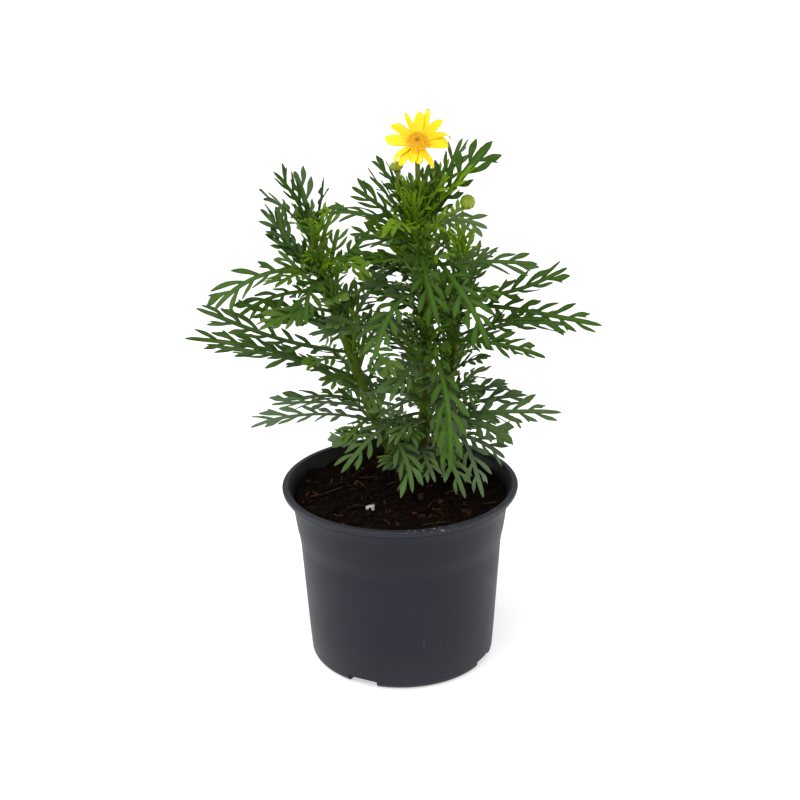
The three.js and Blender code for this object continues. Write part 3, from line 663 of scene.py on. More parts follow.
def build_soil():
    edge = wall_radius(SOIL_Z - 3) - POT_WALL - SOIL_CLEARANCE
    floor_top = FLOOR_UNDERSIDE_Z + POT_WALL + SOIL_CLEARANCE
    line = [(0, floor_top), (BASE_RADIUS - POT_WALL - 3.6, floor_top),
            (BASE_RADIUS - POT_WALL - 0.6, CORNER_RADIUS + 3.4),
            (WALL_TOP_RADIUS - POT_WALL - SOIL_CLEARANCE, WALL_TOP_Z),
            (COLLAR_FOOT_RADIUS - POT_WALL - SOIL_CLEARANCE, COLLAR_FOOT_Z + 0.6),
            (edge, SOIL_Z - 3)]
    line += [(edge * ring / SOIL_RINGS, SOIL_Z) for ring in range(SOIL_RINGS, -1, -1)]

    def lift(angle, radius, z):
        if z < SOIL_Z:
            return radius, z
        banked = BANK_HEIGHT * max(0, (radius - edge + BANK_WIDTH) / BANK_WIDTH) ** 2
        return radius, rough_soil(radius * math.cos(angle), radius * math.sin(angle)) + banked

    soil = spun("soil_filling", line, SOIL_STEPS, PEAT, lift)
    soil.data.vertices[len(soil.data.vertices) - 1].co.z = rough_soil(0, 0) * MM
    return soil


soil = build_soil()
report(soil)

# %% [markdown]
# Loose on the soil lie crumbs and bark chips, which are rough lumps, and straws, which are
# thin bent rods. Both are drawn from few faces, since hundreds of each are needed: an
# icosahedron with its corners pushed about by noise, and a rod with five sides.

# %% One lump and one straw
def lump(name, size, roughness, squash=(1, 1, 1), detail=1, seed=0):
    """A rough pebble: a subdivided icosahedron with each corner pushed by noise."""
    grown = bmesh.new()
    bmesh.ops.create_icosphere(grown, subdivisions=detail, radius=1)
    for corner in grown.verts:
        push = 1 + roughness * noise.noise(corner.co * 1.7 + Vector((seed, 0, 0)))
        corner.co = Vector(c * s * size * MM * push for c, s in zip(corner.co, squash))
    mesh = bpy.data.meshes.new(name)
    grown.to_mesh(mesh)
    grown.free()
    piece = bpy.data.objects.new(name, mesh)
    bpy.context.collection.objects.link(piece)
    return piece


def bent_rod(name, length, thickness, bend, sides=5, steps=6):
    rings, faces = [], []
    for step in range(steps + 1):
        share = step / steps
        along = (share - 0.5) * length
        rise = bend * length * (0.25 - (share - 0.5) ** 2)
        thick = thickness * (0.35 + 0.65 * math.sin(math.pi * (0.12 + 0.76 * share)))
        for side in range(sides):
            angle = 2 * math.pi * side / sides
            rings.append(Vector((along, thick * math.cos(angle), rise + thick * math.sin(angle))) * MM)
    for step in range(steps):
        for side in range(sides):
            a, b = step * sides + side, step * sides + (side + 1) % sides
            faces.append((a, a + sides, b + sides, b))
    faces += [tuple(range(sides)), tuple(range(steps * sides + sides - 1, steps * sides - 1, -1))]
    return new_object(name, rings, faces)


# %% [markdown]
# Placing the crumbs one by one would be slow. Geometry Nodes scatter points over the top
# of the filling instead and put a copy on each, turned and sized by seeded random
# numbers. The same tree serves every kind of litter, because its inputs say which thing
# to scatter, how thickly, how tilted and how deep.

# %% A recipe that scatters things on the soil
SOIL_REACH = 64.5


def scatter_recipe():
    recipe = Recipe("scatter_on_soil", Thing=bpy.types.Object, Density=float, Seed=int,
                    Smallest=float, Largest=float, Tilt=float, Sink=float,
                    Reach=float, Finish=bpy.types.Material)
    x, y, z = recipe.position()
    near = from_axis(x, y).math("LESS_THAN", recipe.given("Reach"))
    on_top = z.math("GREATER_THAN", (SOIL_Z - 8) * MM) * near
    spread = recipe.node("GeometryNodeDistributePointsOnFaces", Mesh=recipe.start.outputs[0],
                         Selection=on_top, Density=recipe.given("Density"), Seed=recipe.given("Seed"))
    number = Num(recipe.tree, recipe.node("GeometryNodeInputIndex").outputs[0])
    tilt = recipe.given("Tilt")
    turns = [recipe.random(-tilt, tilt, number, 3), recipe.random(-tilt, tilt, number, 4),
             recipe.random(0.0, 2 * math.pi, number, 5)]
    size = recipe.random(0.0, 1.0, number, 6)
    size = size * size * (recipe.given("Largest") - recipe.given("Smallest")) + recipe.given("Smallest")
    copies = recipe.node("GeometryNodeInstanceOnPoints", Points=spread.outputs["Points"],
                         Instance=recipe.shape_of("Thing"), Rotation=recipe.rotation(*turns), Scale=size)
    tinted = recipe.store(copies.outputs[0], "tint", recipe.random(0.0, 1.0, number, 7))
    real = recipe.node("GeometryNodeRealizeInstances", Geometry=tinted)
    lower = recipe.vector(0.0, 0.0, -recipe.given("Sink"))
    sunk = recipe.node("GeometryNodeSetPosition", Geometry=real.outputs[0], Offset=lower)
    recipe.finish(sunk.outputs[0], recipe.given("Finish"))
    return recipe


def scatter(name, thing, finish, density, sizes, tilt, sink, seed, reach=SOIL_REACH):
    start = bpy.data.objects.new(name, soil.data.copy())
    bpy.context.collection.objects.link(start)
    made = SCATTER.bake(name, start, Thing=thing, Density=density, Seed=seed,
                        Smallest=sizes[0], Largest=sizes[1], Tilt=tilt, Sink=sink * MM,
                        Reach=reach * MM, Finish=finish)
    bpy.data.objects.remove(thing)
    return made


SCATTER = scatter_recipe()
print("scatter recipe has", len(SCATTER.tree.nodes), "nodes")

# %% [markdown]
# Now the soil gets its litter: two sizes of crumbs, bark chips and straw. The few twigs
# and the white perlite grains catch the eye in the photograph, and chance would not put
# them there, so they are placed one by one. All of it is joined to the filling.

# %% Litter on the soil
CRUMB_SEED = 12
# For each: a thing, its finish, copies to a square metre, smallest and largest, tilt, sink, seed
litter = [
    scatter("fine_crumbs", lump("crumb", 1.0, 0.9), PEAT, 90000, (0.5, 1.5), 3.1, 0.0, CRUMB_SEED),
    scatter("clods", lump("clod", 2.0, 1.1, (1.2, 0.9, 0.7)), PEAT, 10000, (0.6, 1.7), 0.6, 0.2,
            CRUMB_SEED + 1),
    scatter("bark_chips", lump("chip", 3.4, 1.0, (1.2, 0.6, 0.22)), BARK, 2800, (0.45, 1.3), 0.45,
            -0.4, CRUMB_SEED + 2),
    scatter("straws", bent_rod("straw", 13, 0.32, 0.14), STRAW, 6500, (0.25, 1.0), 0.25, -0.4,
            CRUMB_SEED + 3, 60),
]
# Twigs and roots that lie on the soil: place, turn in degrees, length, thickness and bend
TWIGS = [
    (-45, 6, 42, 25, 0.45, 0.06), (-28, -18, 20, 12, 0.80, 0.35), (-30, -32, 70, 17, 0.28, 0.25),
    (60, -14, 8, 17, 0.35, 0.12), (-42, 14, 16, 22, 0.30, 0.10), (-12, -38, -30, 14, 0.25, 0.20),
    (22, -44, 15, 18, 0.25, 0.10), (-20, 12, 10, 20, 0.30, 0.12),
]
PERLITE_SPOTS = [(-18.5, -21, 2.6), (36, 30, 0.9)]
for number, (x, y, turn, length, thickness, bend) in enumerate(TWIGS):
    twig = bent_rod("twig", length, thickness, bend, 6, 10)
    middle = Vector((x, y, soil_height(x, y) + 0.9)) * MM
    twig.data.transform(Matrix.Translation(middle) @ Matrix.Rotation(math.radians(turn), 4, "Z"))
    twig.data.materials.append(BARK if number % 3 else STRAW)
    litter.append(twig)
for spot, (x, y, size) in enumerate(PERLITE_SPOTS):
    pebble = lump("perlite", size, 0.7, (1.2, 0.9, 0.8), 2, spot)
    pebble.data.transform(Matrix.Translation(Vector((x, y, soil_height(x, y) + 1)) * MM))
    pebble.data.materials.append(PERLITE)
    pebble.data.shade_smooth()
    litter.append(pebble)
soil = joined("soil_filling", [soil, *litter])
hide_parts("soil")
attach(soil, "root")
report(soil)

# %% [markdown]
# The plant is three leafy shoots that leave the soil close together. The plan repeats the
# part's: each stem is a path with a radius at each end. Drawing them as paths first lets
# every leaf ask where its stem is at its own height.

# %% The plan of the stems
STEM_FOOT_Z = 86
STEMS = {
    "main": {"radius": (3.6, 2.2),
             "path": [(14, 26, STEM_FOOT_Z), (14, 26, 116), (16, 24, 140), (17, 20, 180),
                      (17, 17, 220), (15, 14, 260), (13, 12, 292)]},
    "left": {"radius": (3.2, 1.8),
             "path": [(2, 24, STEM_FOOT_Z), (2, 24, 116), (-9, 20, 138), (-20, 18, 168),
                      (-30, 16, 200), (-40, 15, 230), (-48, 15, 256), (-52, 14, 274)]},
    "back": {"radius": (3.0, 1.6),
             "path": [(24, 36, STEM_FOOT_Z), (24, 36, 116), (29, 38, 140), (34, 40, 180),
                      (38, 42, 215), (42, 43, 250)]},
}


def point_on_stem(stem, z):
    path = STEMS[stem]["path"]
    above = next(i for i, point in enumerate(path) if point[2] >= z)
    low, high = Vector(path[above - 1]), Vector(path[above])
    return low.lerp(high, (z - low.z) / (high.z - low.z))


print("stems:", ", ".join(f"{name} to {plan['path'][-1][2]} mm" for name, plan in STEMS.items()))

# %% [markdown]
# A leaf is planned before it is modelled. The leaves that draw the plant's outline are
# listed one by one, each with its stem, its height on it, the point its tip reaches and
# how far it arches. The rest could be scattered at random, but real shoots turn by the
# golden angle from leaf to leaf, so that none shades the one below, and rows that do the
# same look grown.

# %% The plan of the leaves
# Leaves that draw the outline: stem, height, tip to reach, arch, and turn to the front
CHOSEN_LEAVES = [
    ("back", 222, (126, 8, 218), 12), ("back", 226, (105, 20, 251), -12),
    ("back", 200, (91, -8, 228), 15), ("main", 206, (89, -14, 205), 24, 0.9),
    ("main", 268, (52, -50, 226), 75), ("main", 256, (86, 18, 255), 26),
    ("main", 276, (54, -6, 285), 80), ("main", 272, (57, 2, 336), 6, 2.2),
    ("main", 284, (40, 14, 335), -10), ("main", 280, (-13, 4, 325), 20),
    ("main", 270, (-26, 10, 308), 10, 1.8), ("main", 260, (-40, -8, 295), 75, 0.8),
    ("main", 248, (-34, -10, 266), 45), ("left", 268, (-72, 12, 318), 40),
    ("left", 270, (-62, 22, 314), 10), ("left", 272, (-42, 6, 312), 5),
    ("left", 256, (-72, 5, 297), -50, 2.3), ("left", 270, (-75, -34, 311), 40),
    ("left", 252, (-109, -14, 239), 80), ("left", 240, (-97, -12, 235), 40),
    ("left", 218, (-83, 25, 225), 10), ("left", 200, (-121, -12, 239), -6),
    ("left", 182, (-132, 10, 213), 16), ("left", 172, (-112, -22, 218), 26),
    ("left", 164, (-71, 20, 166), 30, 0.6), ("left", 160, (-79, 5, 168), 35, 0.7),
    ("left", 152, (-91, -20, 166), 35, 0.1), ("main", 156, (-36, -50, 147), 45),
    ("left", 140, (-41, -30, 156), 45), ("main", 236, (-15, -56, 221), 85),
    ("main", 264, (23, -46, 238), 95), ("main", 208, (31, -58, 150), 95),
    ("main", 152, (39, -40, 124), 80), ("back", 146, (52, -26, 118), 80),
    ("main", 150, (101, -2, 164), 34), ("back", 150, (82, 30, 165), 10),
    ("main", 144, (70, -18, 150), 60), ("back", 134, (68, 26, 122), 60),
    ("back", 156, (70, 34, 171), 5), ("back", 168, (55, 45, 163), 30),
    ("main", 132, (-2, -8, 128), 50), ("main", 128, (0, -18, 138), 60),
    ("main", 274, (-15, -10, 317), 20), ("left", 246, (-54, -38, 238), 85),
]
# Smaller leaves at the tops and between the stems: here the fifth number is how young it looks
SMALL_LEAVES = [
    ("main", 284, (46, -5, 324), -10, 0.75), ("main", 286, (32, 0, 316), 10, 0.75),
    ("main", 284, (8, 6, 316), -5, 0.3), ("main", 286, (20, 17, 319), -5, 0.2),
    ("main", 284, (28, 18, 317), 25, 0.2), ("main", 280, (-7, -2, 301), 15, 0.6),
    ("main", 282, (1, -4, 309), 5, 0.7), ("left", 252, (-80, 10, 295), -10, 0.0),
    ("left", 250, (-78, 6, 281), 10, 0.0), ("main", 120, (-13, 14, 127), 30, 0.6),
    ("main", 119, (0, 4, 130), 30, 0.6), ("left", 214, (-31, -10, 252), 30, 0.1),
    ("main", 228, (4, -12, 254), 30, 0.3), ("main", 200, (2, -12, 226), 30, 0.1),
    ("main", 222, (-16, -6, 247), 20, 0.0), ("main", 262, (-28, 8, 278), 35, 0.1),
    ("main", 270, (-18, 4, 287), 30, 0.4), ("main", 262, (-10, -2, 280), 40, 0.3),
    ("main", 246, (-31, 5, 264), 30, 0.0), ("main", 250, (-17, -6, 265), 40, 0.1),
    ("main", 254, (-2, -12, 267), 40, 0.2), ("main", 236, (-20, 0, 250), 30, 0.0),
    ("main", 230, (-6, -10, 244), 40, 0.0), ("left", 222, (-30, -6, 241), 30, 0.0),
    ("main", 212, (-14, -4, 228), 30, 0.0),
]
# Rows round each stem: a leaf that would point into the bush is turned round
LEAF_ROWS = [
    {"stem": "main", "count": 34, "from": 138, "to": 286, "phase": 40, "outward": 0,
     "spread": 180, "skip": (0, 1, 8, 9, 10, 13, 21, 22)},
    {"stem": "left", "count": 20, "from": 138, "to": 264, "phase": 10, "outward": 165,
     "spread": 135, "skip": (0, 1, 3, 7, 8)},
    {"stem": "back", "count": 18, "from": 136, "to": 246, "phase": 75, "outward": 35,
     "spread": 125, "skip": (3, 5, 7, 11, 12, 17)},
]
# Upright leaves round each tip: stem, count, first height, phase
YOUNG_LEAF_ROWS = [("main", 6, 285, 20), ("left", 4, 268, 60), ("back", 4, 244, 100)]
# Rows inside the bush: stem, count, first and last height, phase, length, rise, arch, young
INNER_LEAF_ROWS = [
    ("main", 26, 172, 276, 20, 38, 58, 25, 0.5), ("main", 18, 118, 175, 75, 50, 36, 40, 0.1),
    ("main", 16, 165, 280, 110, 60, 42, 35, 0.2), ("main", 7, 262, 280, 50, 40, 56, 6, 1.0),
    ("main", 6, 149, 155, -30, 26, 50, 20, 1.0), ("left", 16, 185, 270, 30, 38, 62, 25, 0.5),
    ("left", 14, 122, 190, 130, 52, 34, 45, 0.15), ("left", 12, 185, 262, 60, 56, 42, 35, 0.2),
    ("left", 8, 246, 260, 0, 22, 40, 20, 1.0), ("back", 12, 165, 246, 50, 36, 60, 25, 0.4),
    ("back", 14, 118, 176, 10, 54, 34, 45, 0.1), ("back", 9, 172, 236, 70, 50, 46, 35, 0.2),
    ("back", 5, 205, 220, -60, 34, 50, 20, 0.3),
]

# %% [markdown]
# The plan becomes a list of leaves, each with a base, a heading, a rise, an arch and a
# length. A tip to reach is turned into those by the geometry of an arc. In the rows,
# seeded random numbers vary every leaf a little, and a leaf is left out where another
# already has the room. The inner leaves turn to the front and back, to fill the bush
# without widening it, and they are fresher the nearer they are to the top.

# %% Grow the leaves of the plan
SIDEWAYS_SHARE = 0.45
FRESHEST = 0.85
FRESH_BELOW_TOP = {"main": 68, "left": 28, "back": 20}
GOLDEN_ANGLE = 137.508
LEAF_SEED = 7
ROOM_ANGLE = 38
ROOM_HEIGHT = 15
ROW_LENGTH, ROW_LENGTH_GAIN = 58, 24
ROW_RISE, ROW_RISE_GAIN = 12, 38
ROW_ARCH, ROW_ARCH_GAIN = 20, 32
YOUNG_LENGTH, YOUNG_RISE, YOUNG_ARCH = 30, 66, 14


def seeded_numbers(seed):
    state = seed
    while True:
        state = (state * 1664525 + 1013904223) % 4294967296
        yield state / 4294967296


def wrap_angle(degrees):
    return (degrees + 180) % 360 - 180


def leaf_to_tip(stem, z, tip, arch, facing=1.0):
    base = point_on_stem(stem, z)
    chord = Vector(tip) - base
    half_arch = math.radians(arch) / 2
    return {"stem": stem, "z": z, "base": base, "arch": arch, "young": 0.0, "facing": facing,
            "azimuth": math.degrees(math.atan2(chord.y, chord.x)),
            "rise": math.degrees(math.asin(chord.z / chord.length)) + arch / 2,
            "length": chord.length * half_arch / math.sin(half_arch)}


def has_room(leaf, grown):
    return not any(other["stem"] == leaf["stem"] and abs(other["z"] - leaf["z"]) < ROOM_HEIGHT
                   and abs(wrap_angle(leaf["azimuth"] - other["azimuth"])) < ROOM_ANGLE
                   for other in grown)


def leaves_in_row(row, random, grown):
    for i in range(row["count"]):
        share = i / (row["count"] - 1)
        z = row["from"] + (row["to"] - row["from"]) * share
        turn, lift, stretch = (next(random) - 0.5 for _ in range(3))
        off = wrap_angle(row["phase"] + GOLDEN_ANGLE * i + 20 * turn - row["outward"])
        if abs(off) > row["spread"]:
            off = math.copysign(abs(off) - 180, off)
        full = ROW_LENGTH + ROW_LENGTH_GAIN * math.sin(math.pi * min(1, share * 0.8 + 0.15))
        leaf = {"stem": row["stem"], "z": z, "base": point_on_stem(row["stem"], z),
                "azimuth": row["outward"] + off, "young": max(0.0, share - 0.75),
                "rise": ROW_RISE + ROW_RISE_GAIN * share ** 1.5 + 10 * lift,
                "arch": ROW_ARCH + ROW_ARCH_GAIN * (1 - share) + 12 * lift,
                "length": full * (1 - 0.42 * share ** 3) * (1 + 0.2 * stretch)}
        if i not in row["skip"] and has_room(leaf, grown):
            grown.append(leaf)


def young_leaves(stem, count, first, phase):
    return [{"stem": stem, "z": first, "base": point_on_stem(stem, first + 6 * i / count),
             "azimuth": phase + GOLDEN_ANGLE * i, "rise": YOUNG_RISE + 8 * (i % 3),
             "arch": YOUNG_ARCH, "length": YOUNG_LENGTH - 2.5 * i, "young": 1.0}
            for i in range(count)]


def inner_leaves(random, stem, count, first, last, phase, length, rise, arch, young):
    """Shorter leaves that fill the bush, turned away from its left and right sides."""
    grown = []
    top = STEMS[stem]["path"][-1][2]
    for i in range(count):
        z = first + (last - first) * i / (count - 1)
        turn, lift, stretch = (next(random) - 0.5 for _ in range(3))
        turned = wrap_angle(phase + GOLDEN_ANGLE * i + 40 * turn)
        nearest = math.copysign(90, turned)
        freshness = FRESHEST * (1 - (top - z) / FRESH_BELOW_TOP[stem])
        grown.append({"stem": stem, "z": z, "base": point_on_stem(stem, z),
                      "azimuth": nearest + (turned - nearest) * SIDEWAYS_SHARE,
                      "rise": rise + 24 * lift, "arch": arch * (1 + stretch),
                      "length": length * (1 + 0.5 * stretch), "young": max(young, freshness)})
    return grown


def all_leaves():
    random = seeded_numbers(LEAF_SEED)
    grown = [leaf_to_tip(*row) for row in CHOSEN_LEAVES]
    for row in LEAF_ROWS:
        leaves_in_row(row, random, grown)
    for row in YOUNG_LEAF_ROWS:
        grown += young_leaves(*row)
    return grown


leaves = all_leaves()
inner_random = seeded_numbers(LEAF_SEED + 1)
filling = [leaf for row in INNER_LEAF_ROWS for leaf in inner_leaves(inner_random, *row)]
filling += [{**leaf_to_tip(*row[:-1]), "young": row[-1]} for row in SMALL_LEAVES]
print(len(leaves) + len(filling), "leaves on", len(STEMS), "stems")

# %% [markdown]
# A euryops leaf is a narrow rib with strap-like lobes on both sides, thick and a little
# fleshy. Its outline could be traced, but a coarse cage is far easier: a row of quads
# down the rib and a short strip of quads for each lobe, which one level of subdivision
# rounds later. Each corner also stores which lobe it is on and how far out, so that a
# later step can bend every lobe differently.

# %% The cage and its lobes
LOBE_STEPS = (0.34, 0.72, 1.0)
LOBE_ROOTS = {1: (0.05, 0.19, 0.33), -1: (0.53, 0.67, 0.81)}
LOBE_HALF_WIDTHS = (1.40, 2.30, 0.60)
LOBE_TURN = math.radians(12)
LOBE_POINT, LOBE_CROWN = 1.6, 0.3
TOOTH_TURN = math.radians(14)
EDGE_THICKNESS = 0.5


class LeafCage:
    """Collects the corners of one leaf's upper face, with what each corner stores."""

    def __init__(self):
        self.points, self.depths, self.faces = [], [], []
        self.stored = {"share": [], "lobe": [], "vein": [], "side": []}

    def corner(self, spot, depth=EDGE_THICKNESS, **values):
        self.points.append(tuple(spot))
        self.depths.append(depth)
        for name, column in self.stored.items():
            column.append(float(values.get(name, 0)))
        return len(self.points) - 1

    def strip(self, first, second, hand):
        for i in range(len(first) - 1):
            quad = (first[i], second[i], second[i + 1], first[i + 1])
            self.faces.append(quad if hand > 0 else quad[::-1])


def beside_and_ahead(heading, hand):
    ahead = Vector((math.cos(heading), hand * math.sin(heading)))
    return Vector((math.sin(heading), -hand * math.cos(heading))), ahead


def grow_lobe(cage, root, number, hand, reach, lean, breadth, teeth):
    """A pointed lobe of three quad pairs, from three corners on the rib out to its tip."""
    middle = Vector(cage.points[root[1]])
    last, rows = root, []
    for step, half in zip(LOBE_STEPS, LOBE_HALF_WIDTHS):
        beside, ahead = beside_and_ahead(lean - LOBE_TURN * step, hand)
        spot = middle + ahead * reach * step
        width = half * breadth
        values = {"share": step, "lobe": number}
        row = [cage.corner(spot - beside * width, side=-width, **values),
               cage.corner(spot + ahead * (LOBE_POINT if step == 1 else LOBE_CROWN),
                           EDGE_THICKNESS * 1.5, vein=1 - 0.6 * step, **values),
               cage.corner(spot + beside * width, side=width, **values)]
        cage.strip(last, row, -hand)
        rows.append(row)
        last = row
    for way in teeth:
        beside, ahead = beside_and_ahead(lean - TOOTH_TURN, hand)
        edge = [rows[0][way + 1], rows[1][way + 1]]
        near, far = (Vector(cage.points[corner]) for corner in edge)
        tip = [cage.corner(near.lerp(far, 0.6) + (beside * way * 1.3 + ahead * 1.6) * breadth,
                           share=0.6, lobe=number, side=2.5 * way),
               cage.corner(far + (beside * way * 1.5 + ahead * 2.0) * breadth,
                           share=0.8, lobe=number, side=2.8 * way)]
        cage.strip(edge, tip, -hand * way)


# %% [markdown]
# The whole leaf is a bare foot, then pairs of lobes, then a pointed end. On the real leaf
# the rib widens towards the tip and the longest lobes sit past the middle, so one
# function gives the rib's width and another the lobes' swell. A few lobes get a tooth,
# picked by a count rather than by chance, so that each model stays the same.

# %% The cage of a whole leaf
RIB_HALF_WIDTH, RIB_GAIN = 0.95, 0.50
RIB_THICKNESS = 1.3
FIRST_LEAN, LEAN_LOSS = 62, 24
TIP_SHARE = 0.88
TIP_ROWS = ((0.93, 1.0), (0.975, 0.85), (1.0, 0.25))


def rib_half_width(share, blade):
    opened = max(0.0, share - 0.35) / 0.65
    return RIB_HALF_WIDTH + RIB_GAIN * min(1, share / 0.3) + (blade - 1.2) * opened ** 1.3


def lobe_swell(share):
    return min(1, 0.38 + 0.95 * share) * (1 - 0.33 * max(0, share - 0.62) / 0.38)


def leaf_cage(length, pairs, longest, petiole, blade, breadth, toothed):
    cage = LeafCage()
    stations = [petiole * k / 3 for k in range(3)]
    pitch = (TIP_SHARE - petiole) / pairs
    for i in range(pairs):
        stations += [petiole + pitch * (i + step) for step in LOBE_ROOTS[1] + LOBE_ROOTS[-1]]
    stations.append(TIP_SHARE)
    middle, edges = [], {1: [], -1: []}
    for share in stations:
        width = rib_half_width(share, blade)
        middle.append(cage.corner((share * length, 0), RIB_THICKNESS * (1 - 0.5 * share), vein=1))
        for hand in (1, -1):
            depth = EDGE_THICKNESS + 0.6 * max(0, 1 - 2 * share)
            edges[hand].append(cage.corner((share * length, hand * width), depth))
    for hand in (1, -1):
        cage.strip(middle, edges[hand], hand)
    number = 0
    for i in range(pairs):
        share = (i + 0.5) / pairs
        for hand in (1, -1):
            number += 1
            first = 3 + 6 * i + (0 if hand > 0 else 3)
            root = edges[hand][first:first + 3]
            for corner in root:
                cage.stored["lobe"][corner] = number
            teeth = [way for way in (-1, 1) if toothed and share > 0.25
                     and (number * 5 + way) % 7 < toothed]
            lean = math.radians(FIRST_LEAN - LEAN_LOSS * share)
            grow_lobe(cage, root, number, hand, longest * lobe_swell(share), lean,
                      breadth * (0.8 + 0.2 * lobe_swell(share)), teeth)
    root = [edges[1][-1], middle[-1], edges[-1][-1]]
    width = rib_half_width(TIP_SHARE, blade)
    for share, half in TIP_ROWS:
        row = [cage.corner((share * length, half * width), share=0.3, lobe=number + 1),
               cage.corner((share * length + 0.8, 0), EDGE_THICKNESS * 1.4, vein=0.5, lobe=number + 1),
               cage.corner((share * length, -half * width), share=0.3, lobe=number + 1)]
        cage.strip(root, row, -1)
        root = row
    return cage


# %% [markdown]
# A real leaf has a thickness and an underside, and a Solidify modifier could give it
# both. Here the lower face is written out at its own depth below each corner, thick at
# the rib and thin at the edge, and a rim joins the two. The rim's edges are creased, so
# that the subdivision rounds the outline but keeps the edge thin. Old leaves have broad
# blades and young ones are threads, so seven models are made for the whole plant.

# %% Seven flat leaves
def closed_sheet(name, top, depths, faces, **stored):
    """A thin closed body: the given upper face, a lower one at each depth, and a rim."""
    count = len(top)
    points = list(top) + [(x, y, z - depth) for (x, y, z), depth in zip(top, depths)]
    sides = {pair for face in faces for pair in zip(face, face[1:] + face[:1])}
    rim = [(a, b) for a, b in sides if (b, a) not in sides]
    below = [tuple(corner + count for corner in reversed(face)) for face in faces]
    sheet = new_object(name, points, [*faces, *below, *((b, a, a + count, b + count) for a, b in rim)])
    for title, values in stored.items():
        point_attribute(sheet, title, list(values) * 2)
    point_attribute(sheet, "under", [0.0] * count + [1.0] * count)
    crisp = {frozenset((a + low, b + low)) for a, b in rim for low in (0, count)}
    crease = sheet.data.attributes.new("crease_edge", "FLOAT", "EDGE")
    for edge in sheet.data.edges:
        if frozenset(edge.vertices) in crisp:
            crease.data[edge.index].value = 1.0
    return sheet


def flat_leaf(name, length, pairs, longest, petiole=0.24, blade=1.4, breadth=1.0, toothed=1,
              rounding=1):
    """One leaf, closed and rounded: x is its share along, y and z are across and up in mm."""
    cage = leaf_cage(length, pairs, longest, petiole, blade, breadth, toothed)
    top = [(x / length, y, 0) for x, y in cage.points]
    leaf = closed_sheet(name, top, cage.depths, cage.faces, **cage.stored)
    leaf.modifiers.new("Round", "SUBSURF").levels = rounding
    return apply_modifiers(leaf)


LEAF_KINDS = {
    "long": {"length": 95, "pairs": 6, "longest": 17.0, "petiole": 0.20, "blade": 1.6},
    "middle": {"length": 68, "pairs": 5, "longest": 15.5, "petiole": 0.20, "blade": 1.5},
    "short": {"length": 48, "pairs": 4, "longest": 12.0, "petiole": 0.18, "breadth": 0.95},
    "broad": {"length": 72, "pairs": 6, "longest": 10.0, "petiole": 0.24, "blade": 3.0,
              "breadth": 1.05, "toothed": 6},
    "inner": {"length": 40, "pairs": 4, "longest": 10.5, "petiole": 0.16, "breadth": 0.85,
              "toothed": 0},
    "bold": {"length": 78, "pairs": 5, "longest": 15.5, "petiole": 0.22, "blade": 2.8,
             "breadth": 1.15},
    "young": {"length": 30, "pairs": 5, "longest": 7.5, "petiole": 0.12, "blade": 0.7,
              "breadth": 0.36, "toothed": 0, "rounding": 0},
}
YOUNG_UP_TO, INNER_UP_TO, SHORT_UP_TO, MIDDLE_UP_TO = 31, 48, 55, 78
BOLD_FACING = 2
BROAD_BELOW_Z = 162
BROAD_HEADING = -80
BROAD_SPREAD = 70
leaf_models = {kind: flat_leaf("flat_" + kind, **values) for kind, values in LEAF_KINDS.items()}
for model in leaf_models.values():
    report(model)


def leaf_kind(leaf):
    length = leaf["length"]
    if length < YOUNG_UP_TO or leaf["young"] > 0.8:
        return "young"
    if length < INNER_UP_TO:
        return "inner"
    if leaf.get("facing", 1) > BOLD_FACING:
        return "bold"
    in_front = abs(wrap_angle(leaf["azimuth"] - BROAD_HEADING)) < BROAD_SPREAD
    if in_front and "facing" in leaf and leaf["z"] < BROAD_BELOW_Z and length < MIDDLE_UP_TO:
        return "broad"
    return "long" if length > MIDDLE_UP_TO else "middle" if length > SHORT_UP_TO else "short"


# %% [markdown]
# Every leaf bends as an arc: it leaves the stem at its rise and turns down by its arch.
# The tree places one copy of the flat leaf on a point for each real leaf, makes the
# copies real, and then moves each corner by that arc's formula. Random numbers, drawn for
# each lobe of each leaf, lengthen, swing and curl the lobes, so no two leaves match.

# %% Bend the leaves with Geometry Nodes
LOBES_PER_LEAF = 32
LOBE_STRETCH = (-0.35, 0.15)
LOBE_DROOP = 0.25
WAVES = 5.0
WAVE_SHARE = 0.012
TIP_CURL_POWER = 6.0


